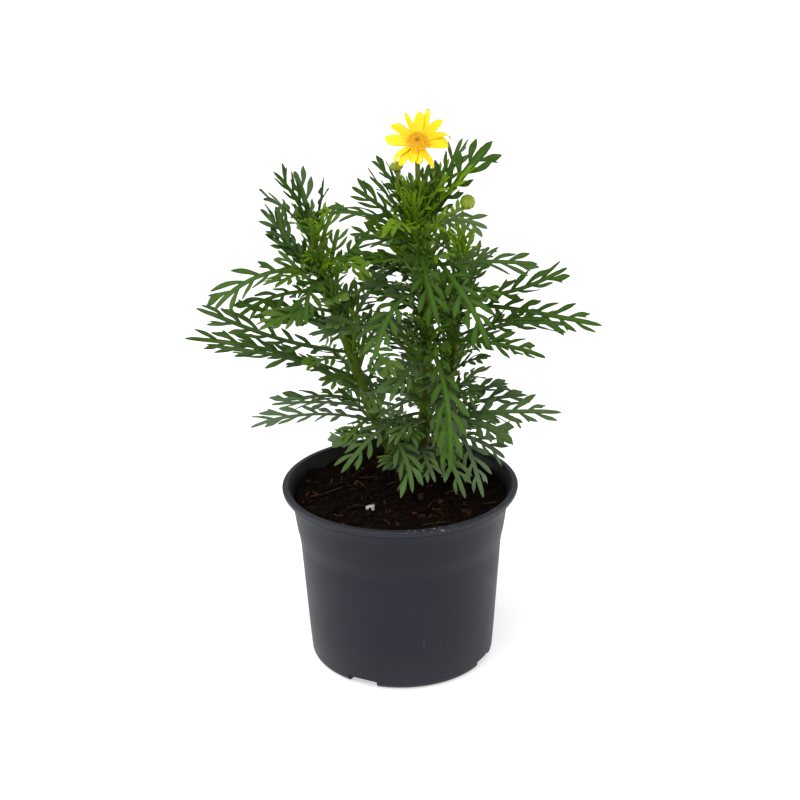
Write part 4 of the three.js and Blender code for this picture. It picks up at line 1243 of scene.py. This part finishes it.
def blade_recipe():
    recipe = Recipe("bend_blades", Blade=bpy.types.Object, Fold=float, Face_Front=float,
                    Lobe_Curl=float, Lobe_Swing=float, Lobe_Turn=float, Sway=float, Seed=int,
                    Finish=bpy.types.Material)
    copies = recipe.node("GeometryNodeInstanceOnPoints", Points=recipe.start.outputs[0],
                         Instance=recipe.shape_of("Blade"))
    real = recipe.node("GeometryNodeRealizeInstances", Geometry=copies.outputs[0])
    along, across, up = recipe.position()
    share = recipe.stored("share")
    number = recipe.stored("blade") * LOBES_PER_LEAF + recipe.stored("lobe")
    seed = recipe.given("Seed")
    stretch = recipe.random(*LOBE_STRETCH, number, seed)
    swing = recipe.random(-1.0, 1.0, number, seed + 1) * recipe.given("Lobe_Swing")
    curl = recipe.random(-1.0, 1.0, number, seed + 2) - LOBE_DROOP
    wander = recipe.random(0.0, 2 * math.pi, recipe.stored("blade"), seed + 3)
    length = recipe.stored("length")
    side_to_side = recipe.random(-1.0, 1.0, recipe.stored("blade"), seed + 4)
    sway = (along * WAVES + wander).sin() * along * length * WAVE_SHARE
    sway = sway + (along * math.pi).sin() * side_to_side * length * recipe.given("Sway")
    across = across * recipe.stored("lobe_scale") * (share * stretch + 1.0)
    along = along + share * swing / length
    up = up + share * share * curl * recipe.given("Lobe_Curl")
    turn = recipe.random(-1.0, 1.0, number, seed + 5) * recipe.given("Lobe_Turn")
    up = up + recipe.stored("side") * share * turn
    up = up + along.math("POWER", TIP_CURL_POWER) * recipe.stored("tip_curl")
    azimuth, rise, arch = (recipe.stored(name) for name in ("azimuth", "rise", "arch"))
    slope = rise - arch * along
    reach = length * (rise.sin() - slope.sin()) / arch
    climb = length * (slope.cos() - rise.cos()) / arch
    fold = recipe.given("Fold")
    roll = azimuth.cos() * recipe.given("Face_Front") * -1.0 + recipe.stored("twist")
    flat = across * fold.cos() + sway
    raised = across.size() * fold.sin() + up
    beside = flat * roll.cos() + raised * roll.sin()
    above = raised * roll.cos() - flat * roll.sin()
    outward = reach - above * slope.sin()
    x = recipe.stored("base_x") + outward * azimuth.cos() - beside * azimuth.sin()
    y = recipe.stored("base_y") + outward * azimuth.sin() + beside * azimuth.cos()
    z = recipe.stored("base_z") + climb + above * slope.cos()
    kept = recipe.store(real.outputs[0], "along", along, "POINT")
    bent = recipe.node("GeometryNodeSetPosition", Geometry=kept,
                       Position=recipe.vector(x * MM, y * MM, z * MM))
    recipe.finish(bent.outputs[0], recipe.given("Finish"))
    return recipe


def bent_blades(name, model, rows, finish, **inputs):
    """Bends one copy of the model for each row of named numbers."""
    start = new_object(name, [(0, 0, 0)] * len(rows), [])
    for title in rows[0]:
        point_attribute(start, title, [float(row[title]) for row in rows])
    return BLADE_RECIPE.bake(name, start, Blade=model, Seed=BLADE_SEED, Finish=finish, **inputs)


BLADE_SEED = 5
BLADE_RECIPE = blade_recipe()
print("blade recipe has", len(BLADE_RECIPE.tree.nodes), "nodes")

# %% [markdown]
# The recipe needs a row of numbers for each leaf. Low on the plant the leaves are older:
# their lobes are shorter and their green is greyer. Each leaf also gets a tint, a twist
# and a curl of its own. The numbers are drawn for every leaf in one order, whichever stem
# is being made, so that taking out one stem would leave the others as they are.

# %% A row of numbers for each leaf
FACE_FRONT = math.radians(35)
LEAF_BEND = {"Fold": math.radians(14), "Face_Front": FACE_FRONT, "Lobe_Curl": 3.2,
             "Lobe_Swing": 2.6, "Lobe_Turn": 0.8, "Sway": 0.04}
LOBE_AT_LEAST, LOBE_PER_LENGTH, LOBE_AT_MOST = 5, 0.145, 17
BROAD_LOBES = 0.72
LOW_LOBES = 0.88
OLD_BELOW_Z = 190
OLD_DEPTH = 45


def leaf_row(number, leaf, random):
    kind = leaf_kind(leaf)
    wanted = min(LOBE_AT_MOST, LOBE_AT_LEAST + LOBE_PER_LENGTH * leaf["length"])
    wanted *= 1 - 0.3 * leaf["young"]
    if kind == "broad":
        wanted *= BROAD_LOBES
    elif leaf["z"] < OLD_BELOW_Z:
        wanted *= LOW_LOBES
    flatter = (1 - leaf.get("facing", 1)) * FACE_FRONT * math.cos(math.radians(leaf["azimuth"]))
    row = {"blade": number, "length": leaf["length"], "young": leaf["young"], "tint": next(random),
           "twist": 0.35 * (next(random) - 0.5) + flatter, "tip_curl": 4 * (next(random) - 0.5),
           "lobe_scale": wanted / LEAF_KINDS[kind]["longest"],
           "old": max(0.0, min(1.0, (OLD_BELOW_Z - leaf["z"]) / OLD_DEPTH))}
    for angle in ("azimuth", "rise", "arch"):
        row[angle] = math.radians(leaf[angle])
    row["base_x"], row["base_y"], row["base_z"] = leaf["base"]
    return row


def bent_leaves(stem, chosen, seed):
    """The stem's leaves out of those chosen, as one bent mesh for each kind."""
    kinds = {}
    random = seeded_numbers(seed)
    for number, leaf in enumerate(chosen):
        row = leaf_row(number, leaf, random)
        if leaf["stem"] == stem:
            kinds.setdefault(leaf_kind(leaf), []).append(row)
    return {kind: bent_blades(kind, leaf_models[kind], rows, LEAF, **LEAF_BEND)
            for kind, rows in kinds.items()}


# %% [markdown]
# Fresh leaves are not one green. Each leaf has its own tint from deep green to a bluish
# grey-green, the youngest are yellow-green, and the rib and the lobes' veins are a shade
# lighter. The stems go from woody brown at the soil to olive green. Stored numbers carry
# all that from the mesh, so that one material serves every leaf.

# %% Plant finishes
def leaf_paint():
    paint = Paint("leaf", Roughness=0.45, Specular_IOR_Level=0.10)
    tint, young = paint.stored("tint"), paint.stored("young")
    mottle = paint.noise(160, 3)
    old = paint.stored("old")
    tone = tint * 0.65 + mottle * 0.45 + old * 0.35
    green = paint.ramp(tone, (0.15, (0.017, 0.044, 0.0010)), (0.45, (0.033, 0.078, 0.0068)),
                       (0.75, (0.057, 0.105, 0.0290)), (1.0, (0.104, 0.155, 0.0760)))
    fresh = paint.mix(young * 0.95, green, (0.195, 0.355, 0.003))
    vein = paint.mix(old, (0.075, 0.175, 0.012), (0.120, 0.180, 0.070))
    ribbed = paint.mix(paint.stored("vein") * 0.45, fresh, vein)
    paint.set("Base Color", paint.mix(paint.stored("under") * 0.3, ribbed, (0.040, 0.075, 0.025)))
    paint.set("Roughness", paint.level(mottle, 0.3, 0.7, 0.36, 0.50))
    paint.bump(paint.noise(900, 2) + paint.stored("vein") * 0.6, 0.00015, 0.5)
    return paint.material


def stem_paint():
    paint = Paint("stem", Roughness=0.55, Specular_IOR_Level=0.15)
    height = paint.node("ShaderNodeSeparateXYZ", Vector=paint.place).outputs["Z"]
    streaks = paint.noise(160, 4, paint.stretched(1, 1, 0.18))
    rise = paint.level(Num(paint.tree, height), 0.095, 0.20) + (streaks - 0.5) * 0.5
    paint.set("Base Color", paint.ramp(rise, (0.0, (0.050, 0.034, 0.012)), (0.35, (0.060, 0.070, 0.004)),
                                       (1.0, (0.072, 0.118, 0.003))))
    paint.bump(streaks + paint.noise(700, 2) * 0.4, 0.0003, 0.6)
    return paint.material


def stalk_paint():
    paint = Paint("stalk", Roughness=0.5, Specular_IOR_Level=0.2)
    streaks = paint.noise(220, 3, paint.stretched(1, 1, 0.2))
    paint.set("Base Color", paint.ramp(streaks, (0.3, (0.105, 0.155, 0.020)), (0.7, (0.165, 0.215, 0.035))))
    paint.bump(streaks, 0.0002, 0.4)
    return paint.material


LEAF = leaf_paint()
STEM = stem_paint()
STALK = stalk_paint()
print("plant finishes:", ", ".join(finish.name for finish in (LEAF, STEM, STALK)))

# %% [markdown]
# Stems and stalks are bending round rods. A curve with a bevel could make them, but a
# mesh swept ring by ring can change its radius at every point. Old leaves leave scars and
# swollen bases on a euryops stem, and this is where they come from.

# %% Rods for the stems and stalks
def smooth_path(points, steps):
    """Catmull-Rom: a curve through every point, with steps between each pair."""
    points = [Vector(point) for point in points]
    ends = [2 * points[0] - points[1], *points, 2 * points[-1] - points[-2]]
    line = []
    for a, b, c, d in zip(ends, ends[1:], ends[2:], ends[3:]):
        for step in range(steps):
            t = step / steps
            line.append(0.5 * (2 * b + (c - a) * t + (2 * a - 5 * b + 4 * c - d) * t ** 2
                               + (3 * b - a - 3 * c + d) * t ** 3))
    return [*line, points[-1]]


def rod(name, line, radius_at, sides, material):
    """A closed round rod along the line. radius_at(share, point, outward) is in mm."""
    points, faces = [], []
    beside = Vector((1, 0, 0))
    last = len(line) - 1
    for i, point in enumerate(line):
        ahead = (line[min(i + 1, last)] - line[max(i - 1, 0)]).normalized()
        beside = (beside - ahead * beside.dot(ahead)).normalized()
        across = ahead.cross(beside)
        for side in range(sides):
            angle = 2 * math.pi * side / sides
            outward = beside * math.cos(angle) + across * math.sin(angle)
            points.append((point + outward * radius_at(i / last, point, outward)) * MM)
    for i in range(last):
        for side in range(sides):
            a, b = i * sides + side, i * sides + (side + 1) % sides
            faces.append((a, b, b + sides, a + sides))
    points += [line[0] * MM, line[-1] * MM]
    for side in range(sides):
        after = (side + 1) % sides
        faces.append((after, side, len(points) - 2))
        faces.append((last * sides + side, last * sides + after, len(points) - 1))
    return new_object(name, points, faces, material)


SCAR_FOOT_Z = 114
SCAR_SPACING = 4.5
SCAR_HEIGHT = 0.5
LEAF_SCAR_HEIGHT = 0.9
SCAR_REACH = 6
SCAR_THICKNESS = 1.6
LEAF_BASES = 0.6


def stem_rod(stem):
    thick, thin = (radius + LEAF_BASES for radius in STEMS[stem]["radius"])
    scars = [(leaf["z"], math.radians(leaf["azimuth"]), LEAF_SCAR_HEIGHT)
             for leaf in leaves if leaf["stem"] == stem]
    top = STEMS[stem]["path"][-1][2]
    scars += [(SCAR_FOOT_Z + SCAR_SPACING * i, math.radians(GOLDEN_ANGLE * i), SCAR_HEIGHT)
              for i in range(int((top - SCAR_FOOT_Z) / SCAR_SPACING))]

    def radius_at(share, point, outward):
        radius = thick + (thin - thick) * share
        around = math.atan2(outward.y, outward.x)
        for z, azimuth, height in scars:
            if abs(point.z - z) < SCAR_REACH:
                facing = max(0, math.cos(around - azimuth))
                radius += height * facing ** 3 * math.exp(-((point.z - z + 0.8) / SCAR_THICKNESS) ** 2)
        return radius + 0.2 * noise.noise(point * 0.3 + outward * 1.3)

    return rod(stem + "_stem", smooth_path(STEMS[stem]["path"], 24), radius_at, 16, STEM)


# %% [markdown]
# The open flower is a daisy: a ring of rays round a disc of florets, in a green cup. It
# could be built where it stands, but it is easier to make it upright about its own axis
# and to set it on its stalk afterwards with one matrix, which holds its forward tilt. The
# rays are listed by their clock angle, reach, width and droop, since no two are alike.

# %% Flower and bud sizes
FLOWER_CENTRE = Vector((13, 4, 335))
FLOWER_TILT = math.radians(40)
FLOWER_PLACE = Matrix.Translation(FLOWER_CENTRE) @ Matrix.Rotation(FLOWER_TILT, 4, "X")
FLOWER_PLACE_IN_METRES = Matrix.Scale(MM, 4) @ FLOWER_PLACE @ Matrix.Scale(1 / MM, 4)
RAY_ROOT_RADIUS = 5
RAY_RING_RADIUS = 6.4
RAY_RING_HALF = 0.7
RAYS = [
    (4, 25, 6.8, 6), (16, 27.5, 6.8, 8), (40, 24.5, 7.0, 10), (60, 25, 7.0, 24),
    (78, 22, 6.2, 26), (92, 19, 6.0, 12), (150, 19.5, 6.4, 14), (174, 14, 6.2, 10),
    (196, 14, 5.8, 10), (221, 18.5, 5.0, 34), (240, 19.5, 5.6, 40), (287, 20.5, 7.4, 12),
    (318, 23.5, 7.2, 14), (346, 26, 4.2, 6),
]
RAY_CURLS = {1: 1.5, 3: -5.0, 4: -5.0, 9: -4.0, 10: -3.0, 12: -2.0, 13: -1.5}
BROWN_TIPS = (1, 3, 4, 12, 13)
DISC_RADIUS = 6.4
DISC_HEIGHT = 2.8
DISC_FOOT = RAY_RING_HALF + 0.3
FLORETS = 130
CALYX_RADIUS = 5.6
CALYX_HEIGHT = 5
STALK_RADIUS = 1.5
BUDS = {
    "right_bud": {"centre": (43, 4, 299), "radius": 4.6, "height": 8, "tilt": (40, 14),
                  "stalk_radius": 1.1, "stalk": [(14, 13, 277), (26, 10, 287), (35, 7, 292)]},
    "left_bud": {"centre": (0.5, 6, 321), "radius": 4.0, "height": 5.4, "tilt": (0, -10),
                 "stalk_radius": 0.9, "stalk": [(13, 12, 284), (5, 9, 300), (1, 7, 312)]},
}
BUD_BRACTS = 10
BUD_GAP = 0.3
print("flower has", len(RAYS), "rays and", FLORETS, "florets, and", len(BUDS), "buds")

# %% [markdown]
# A ray is warm yellow, deeper at its root, with fine lengthwise veins and now and then a
# dry brown tip. The disc goes from olive at its centre to orange, and the buds are
# yellow-green with darker seams. Ramps on stored numbers put each colour where the shape
# has that feature, which a plain noise could not do.

# %% Flower finishes
def ray_paint():
    paint = Paint("petal", Roughness=0.5, Specular_IOR_Level=0.3)
    along = paint.stored("along")
    yellow = paint.ramp(along, (0.0, (0.90, 0.56, 0.002)), (0.5, (0.95, 0.66, 0.003)),
                        (1.0, (0.95, 0.72, 0.006)))
    lined = paint.mix(paint.stored("vein") * 0.25, yellow, (0.80, 0.50, 0.002))
    dried = paint.level(along, 0.90, 0.98) * paint.stored("tint")
    paint.set("Base Color", paint.mix(dried * 0.75, lined, (0.30, 0.19, 0.03)))
    paint.bump(paint.noise(1200, 2) * 0.4 - paint.stored("vein") * 0.5, 0.0002, 0.5)
    return paint.material


def disc_paint():
    paint = Paint("disc", Roughness=0.6)
    tint = paint.stored("tint")
    speck = paint.noise(1800, 2)
    paint.set("Base Color", paint.ramp(tint + (speck - 0.5) * 0.25, (0.0, (0.14, 0.11, 0.004)),
                                       (0.16, (0.62, 0.36, 0.001)), (0.35, (0.90, 0.50, 0.001)),
                                       (0.9, (0.95, 0.56, 0.001)), (1.0, (0.60, 0.22, 0.001))))
    return paint.material


def bud_paint():
    paint = Paint("bud_green", Roughness=0.42)
    mottle = paint.noise(500, 3)
    green = paint.ramp(mottle, (0.3, (0.180, 0.245, 0.003)), (0.7, (0.270, 0.320, 0.005)))
    paint.set("Base Color", paint.mix(paint.stored("vein") * 0.7, green, (0.075, 0.105, 0.010)))
    paint.bump(paint.noise(1500, 2), 0.0001, 0.4)
    return paint.material


PETAL = ray_paint()
DISC = disc_paint()
BUD_GREEN = bud_paint()

# %% [markdown]
# One ray is a strap with two shallow grooves and a blunt, notched end. It is modelled flat
# as a grid, once. The blade recipe that bent the leaves then lays a copy of it at each
# ray's angle, with its own reach, width and droop, which saves a second tree of nodes.

# %% Flower rays
RAY_ROWS = 16
RAY_COLUMNS = 12
RAY_OUTLINE = (0.74, 0.84, 0.93, 1.0, 1.0, 0.98, 0.90, 0.68)
RAY_BEND = {"Fold": 0.12, "Face_Front": 0.0, "Lobe_Curl": 1.1, "Lobe_Swing": 0.0,
            "Lobe_Turn": 0.0, "Sway": 0.0}


def flat_ray():
    """One ray: x is its share along, y and z are across and up in mm, for a width of 2."""
    top, depths, shares, lobes, veins = [], [], [], [], []
    for row in range(RAY_ROWS + 1):
        t = row / RAY_ROWS
        spot = t * (len(RAY_OUTLINE) - 1)
        low = min(int(spot), len(RAY_OUTLINE) - 2)
        half = RAY_OUTLINE[low] + (RAY_OUTLINE[low + 1] - RAY_OUTLINE[low]) * (spot - low)
        for column in range(RAY_COLUMNS + 1):
            c = 2 * column / RAY_COLUMNS - 1
            groove = math.cos(3 * math.pi * c)
            tip = 1 - 0.13 * abs(c) ** 3 - 0.02 * (1 + groove) * t
            top.append((t * tip, c * half, 0.14 * groove * math.sin(math.pi * min(1, t + 0.1))))
            depths.append(0.42 - 0.2 * abs(c))
            shares.append(abs(c) * t)
            lobes.append(1 if c < 0 else 2)
            veins.append(max(0.0, -groove))
    across = RAY_COLUMNS + 1
    faces = [(a, a + across, a + across + 1, a + 1)
             for row in range(RAY_ROWS) for a in range(row * across, row * across + RAY_COLUMNS)]
    return closed_sheet("flat_ray", top, depths, faces, share=shares, lobe=lobes, vein=veins)


def ray_row(number, clock, reach, width, droop):
    heading = math.radians(90 - clock)
    return {"blade": number, "azimuth": heading, "rise": 0, "arch": math.radians(droop),
            "length": reach - RAY_ROOT_RADIUS, "lobe_scale": width / 2,
            "twist": 0.5 * math.sin(number * 2.4), "tint": number in BROWN_TIPS,
            "tip_curl": RAY_CURLS.get(number, -0.6),
            "base_x": RAY_ROOT_RADIUS * math.cos(heading), "base_y": RAY_ROOT_RADIUS * math.sin(heading),
            "base_z": 0.22 * (-1) ** number}


def ring_of_rays():
    rows = [ray_row(number, *values) for number, values in enumerate(RAYS)]
    model = flat_ray()
    rays = bent_blades("flower_rays_fine", model, rows, PETAL, **RAY_BEND)
    bpy.data.objects.remove(model)
    line = [(0, -RAY_RING_HALF), (RAY_RING_RADIUS - 0.3, -RAY_RING_HALF),
            (RAY_RING_RADIUS, 0), (RAY_RING_RADIUS - 0.3, RAY_RING_HALF), (0, RAY_RING_HALF)]
    piece = joined("flower_rays_fine", [rays, spun("ray_ring", line, 48, PETAL)])
    piece.data.transform(FLOWER_PLACE_IN_METRES)
    return piece


rays = ring_of_rays()
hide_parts("flower_rays")
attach(rays, "root")
report(rays)

# %% [markdown]
# The disc is a dome of tiny florets, closed in the middle and open stars at the rim. They
# sit in the spiral that sunflowers show, which is the golden angle again, with the radius
# growing as a square root. Placing a hundred by hand would never give so even a pattern,
# so a formula of nodes sets two small models on it.

# %% Flower disc
OPEN_FROM = 0.72


def small_spun(name, profile, steps, petals=0, depth=0.0):
    def shape(angle, radius, z):
        return radius * (1 + depth * math.cos(petals * angle) * (z > profile[-1][1] * 0.5)), z

    return spun(name, profile, steps, None, shape)


def disc_recipe():
    recipe = Recipe("spiral_florets", Closed=bpy.types.Object, Open=bpy.types.Object, Count=int,
                    Radius=float, Height=float, Foot=float, Finish=bpy.types.Material)
    line = recipe.node("GeometryNodeMeshLine", Count=recipe.given("Count"))
    number = Num(recipe.tree, recipe.node("GeometryNodeInputIndex").outputs[0])
    out = ((number + 0.5) / recipe.given("Count")).math("SQRT")
    angle = number * math.radians(GOLDEN_ANGLE)
    radius = out * recipe.given("Radius") * 0.93
    dome = (1.0 - out * out * 0.94).math("SQRT") * recipe.given("Height")
    place = recipe.vector(radius * angle.cos() * MM, radius * angle.sin() * MM,
                          (dome + recipe.given("Foot")) * MM)
    spots = recipe.node("GeometryNodeSetPosition", Geometry=line.outputs[0], Position=place)
    lean = out * out * out * 0.9
    turn = recipe.rotation(0.0, lean, angle)
    size = recipe.random(0.85, 1.15, number, 3) * (0.62 + out * 0.45)
    outer = out.math("GREATER_THAN", OPEN_FROM)
    halves = [recipe.node("GeometryNodeInstanceOnPoints", Points=spots.outputs[0], Selection=chosen,
                          Instance=recipe.shape_of(title), Rotation=turn, Scale=size)
              for title, chosen in (("Closed", 1.0 - outer), ("Open", outer))]
    both = recipe.node("GeometryNodeJoinGeometry")
    for half in halves:
        recipe.tree.links.new(half.outputs[0], both.inputs[0])
    x, y, _ = recipe.position()
    tinted = recipe.store(both.outputs[0], "tint", from_axis(x, y) / (recipe.given("Radius") * MM))
    real = recipe.node("GeometryNodeRealizeInstances", Geometry=tinted)
    recipe.finish(real.outputs[0], recipe.given("Finish"))
    return recipe


CLOSED_FLORET = [(0, -0.8), (0.34, -0.6), (0.46, 0.1), (0.40, 0.5), (0.22, 0.75), (0, 0.82)]
OPEN_FLORET = [(0, -0.8), (0.26, -0.6), (0.34, 0.2), (0.56, 0.72), (0.62, 0.80), (0.30, 0.60),
               (0.12, 0.9), (0, 1.15)]


def flower_disc():
    closed = small_spun("closed_floret", CLOSED_FLORET, 8)
    opened = small_spun("open_floret", OPEN_FLORET, 10, 5, 0.28)
    start = new_object("florets", [(0, 0, 0)], [])
    recipe = disc_recipe()
    florets = recipe.bake("florets", start, Closed=closed, Open=opened, Count=FLORETS,
                          Radius=DISC_RADIUS, Height=DISC_HEIGHT - 0.4, Foot=DISC_FOOT + 0.4, Finish=DISC)
    line = [(0, DISC_FOOT), (DISC_RADIUS - 1.0, DISC_FOOT)]
    line += [(DISC_RADIUS * 0.96 * math.cos(a), DISC_FOOT + 0.3 + (DISC_HEIGHT - 0.7) * math.sin(a))
             for a in (math.pi / 2 * i / 10 for i in range(10))]
    line += [(0, DISC_FOOT + 0.3 + DISC_HEIGHT - 0.7)]
    dome = spun("dome", line, 48, DISC)
    point_attribute(dome, "tint", [0.8 * min(1.0, Vector(corner.co.xy).length / (DISC_RADIUS * MM))
                                   for corner in dome.data.vertices])
    disc = joined("flower_disc_fine", [florets, dome])
    disc.data.transform(FLOWER_PLACE_IN_METRES)
    for floret in (closed, opened):
        bpy.data.objects.remove(floret)
    return disc


disc = flower_disc()
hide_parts("flower_disc")
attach(disc, "root")
report(disc)

# %% [markdown]
# A closed bud is a green ball of bracts that lie side by side like staves. They could be
# modelled one by one and fitted together. A spun ball that is pinched along ten seams
# looks the same and stays one closed body, and the seams' depth also darkens their colour.

# %% Buds
BUD_RINGS = 28
BUD_STEPS = 120


def tilt_matrix(tilt):
    return (Matrix.Rotation(math.radians(tilt[0]), 4, "X")
            @ Matrix.Rotation(math.radians(tilt[1]), 4, "Y"))


def bud_seam(angle, rise):
    """Nearly 1 on a bract and 0 on a seam, at an angle and a share of half the height."""
    return abs(math.cos(BUD_BRACTS / 2 * (angle + 0.25 * max(0, rise) ** 2)))


def fine_bud(name, centre, radius, height, tilt):
    line = [(0, -height / 2)]
    for ring in range(1, BUD_RINGS):
        angle = math.pi * ring / BUD_RINGS - math.pi / 2
        line.append((radius * math.cos(angle) ** 0.8, height / 2 * math.sin(angle)))
    line.append((0, height / 2 - 0.3))

    def bracts(angle, r, z):
        rise = z / (height / 2)
        depth = 0.075 if rise < 0.6 else 0.075 + 0.2 * (rise - 0.6)
        return r * (1.03 - depth * (1 - bud_seam(angle, rise) ** 0.5) * 1.6), z

    bud = spun(name + "_fine", line, BUD_STEPS, BUD_GREEN, bracts)
    veins = []
    for corner in bud.data.vertices:
        angle = math.atan2(corner.co.y, corner.co.x)
        rise = corner.co.z / MM / (height / 2)
        veins.append(max(0.0, 1 - bud_seam(angle, rise) * 3))
    point_attribute(bud, "vein", veins)
    bud.data.transform(Matrix.Translation(Vector(centre) * MM) @ tilt_matrix(tilt))
    return bud


for name, values in BUDS.items():
    bud = fine_bud(name, *(values[key] for key in ("centre", "radius", "height", "tilt")))
    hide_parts(name)
    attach(bud, "root")
    report(bud)

# %% [markdown]
# Each bud sits in a small cup on a thin stalk, and the flower in a wider cup of bracts.
# These are green like the stems and grow out of the main one, so they belong to its
# foliage. Cups are spun and stalks are swept, with the two helpers that are there already.

# %% Stalks and cups
CUP_PROFILE = [(0, -2.6), (1.3, -2.2), (1.9, -1.1), (2.3, -0.1), (1.6, 0.1), (0, 0)]
CALYX_STEPS = 130
CALYX_BRACTS = 13


def stalk_rod(name, points, radius):
    def radius_at(share, point, outward):
        return radius * (1.15 - 0.15 * share)

    return rod(name, smooth_path(points, 8), radius_at, 12, STALK)


def bud_stalk(bud):
    tilt = tilt_matrix(bud["tilt"])
    axis = tilt.to_3x3() @ Vector((0, 0, 1))
    seat = Vector(bud["centre"]) - axis * (bud["height"] / 2 + BUD_GAP)
    cup = small_spun("cup", CUP_PROFILE, 30, BUD_BRACTS, 0.08)
    cup.data.transform(Matrix.Translation(seat * MM) @ tilt)
    cup.data.materials.append(STALK)
    return [cup, stalk_rod("bud_stalk", [*bud["stalk"], seat - axis * 1.2], bud["stalk_radius"])]


def calyx():
    top = -RAY_RING_HALF - BUD_GAP
    line = [(0, top - CALYX_HEIGHT - 1.4), (STALK_RADIUS, top - CALYX_HEIGHT - 1.1),
            (2.4, top - CALYX_HEIGHT - 0.5), (3.4, top - CALYX_HEIGHT + 0.3), (4.5, top - 3.6),
            (CALYX_RADIUS - 0.4, top - 2.2), (CALYX_RADIUS - 0.1, top - 0.6), (CALYX_RADIUS, top),
            (CALYX_RADIUS - 0.8, top), (0, top)]

    def bracts(angle, radius, z):
        seam = abs(math.cos(CALYX_BRACTS / 2 * angle)) ** 0.5
        return radius * (1.0 - 0.09 * (1 - seam) * (radius > 2)), z

    cup = spun("calyx", line, CALYX_STEPS, STALK, bracts)
    cup.data.transform(FLOWER_PLACE_IN_METRES)
    x, y, z = STEMS["main"]["path"][-1]
    behind = FLOWER_PLACE @ Vector((0, 0, -CALYX_HEIGHT - 1.8))
    line = [(x, y, z - 4), (x + 0.4, y - 0.6, z + 14), behind]
    return [cup, stalk_rod("flower_stalk", line, STALK_RADIUS)]


def flower_and_bud_stalks():
    return calyx() + [part for bud in BUDS.values() for part in bud_stalk(bud)]


print("calyx has", CALYX_BRACTS, "bracts")

# %% [markdown]
# Now each stem is put together: its rod, its leaves and, on the main stem, the stalks and
# cups. One mesh of all the leaves would be very heavy to edit, so the outer leaves, the
# inner leaves and the smallest ones are three pieces, and all three replace the same
# plain solid. The flat models have done their work, so they are removed.

# %% Foliage with stems, stalks and cups
SMALL_KINDS = ("inner", "young")
OUTER_TINT_SEED = 99
INNER_TINT_SEED = 55
LEAF_CREASE = math.radians(50)
for stem in STEMS:
    parts = [stem_rod(stem), *bent_leaves(stem, leaves, OUTER_TINT_SEED).values()]
    if stem == "main":
        parts += flower_and_bud_stalks()
    inner = bent_leaves(stem, filling, INNER_TINT_SEED)
    small = [inner.pop(kind) for kind in SMALL_KINDS if kind in inner]
    for group, members in (("_foliage", parts), ("_inner_leaves", [*inner.values()]),
                           ("_small_leaves", small)):
        foliage = joined(stem + group, members)
        foliage.data.set_sharp_from_angle(angle=LEAF_CREASE)
        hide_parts(stem + "_leafy_stem")
        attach(foliage, "root")
        report(foliage)
for model in leaf_models.values():
    bpy.data.objects.remove(model)
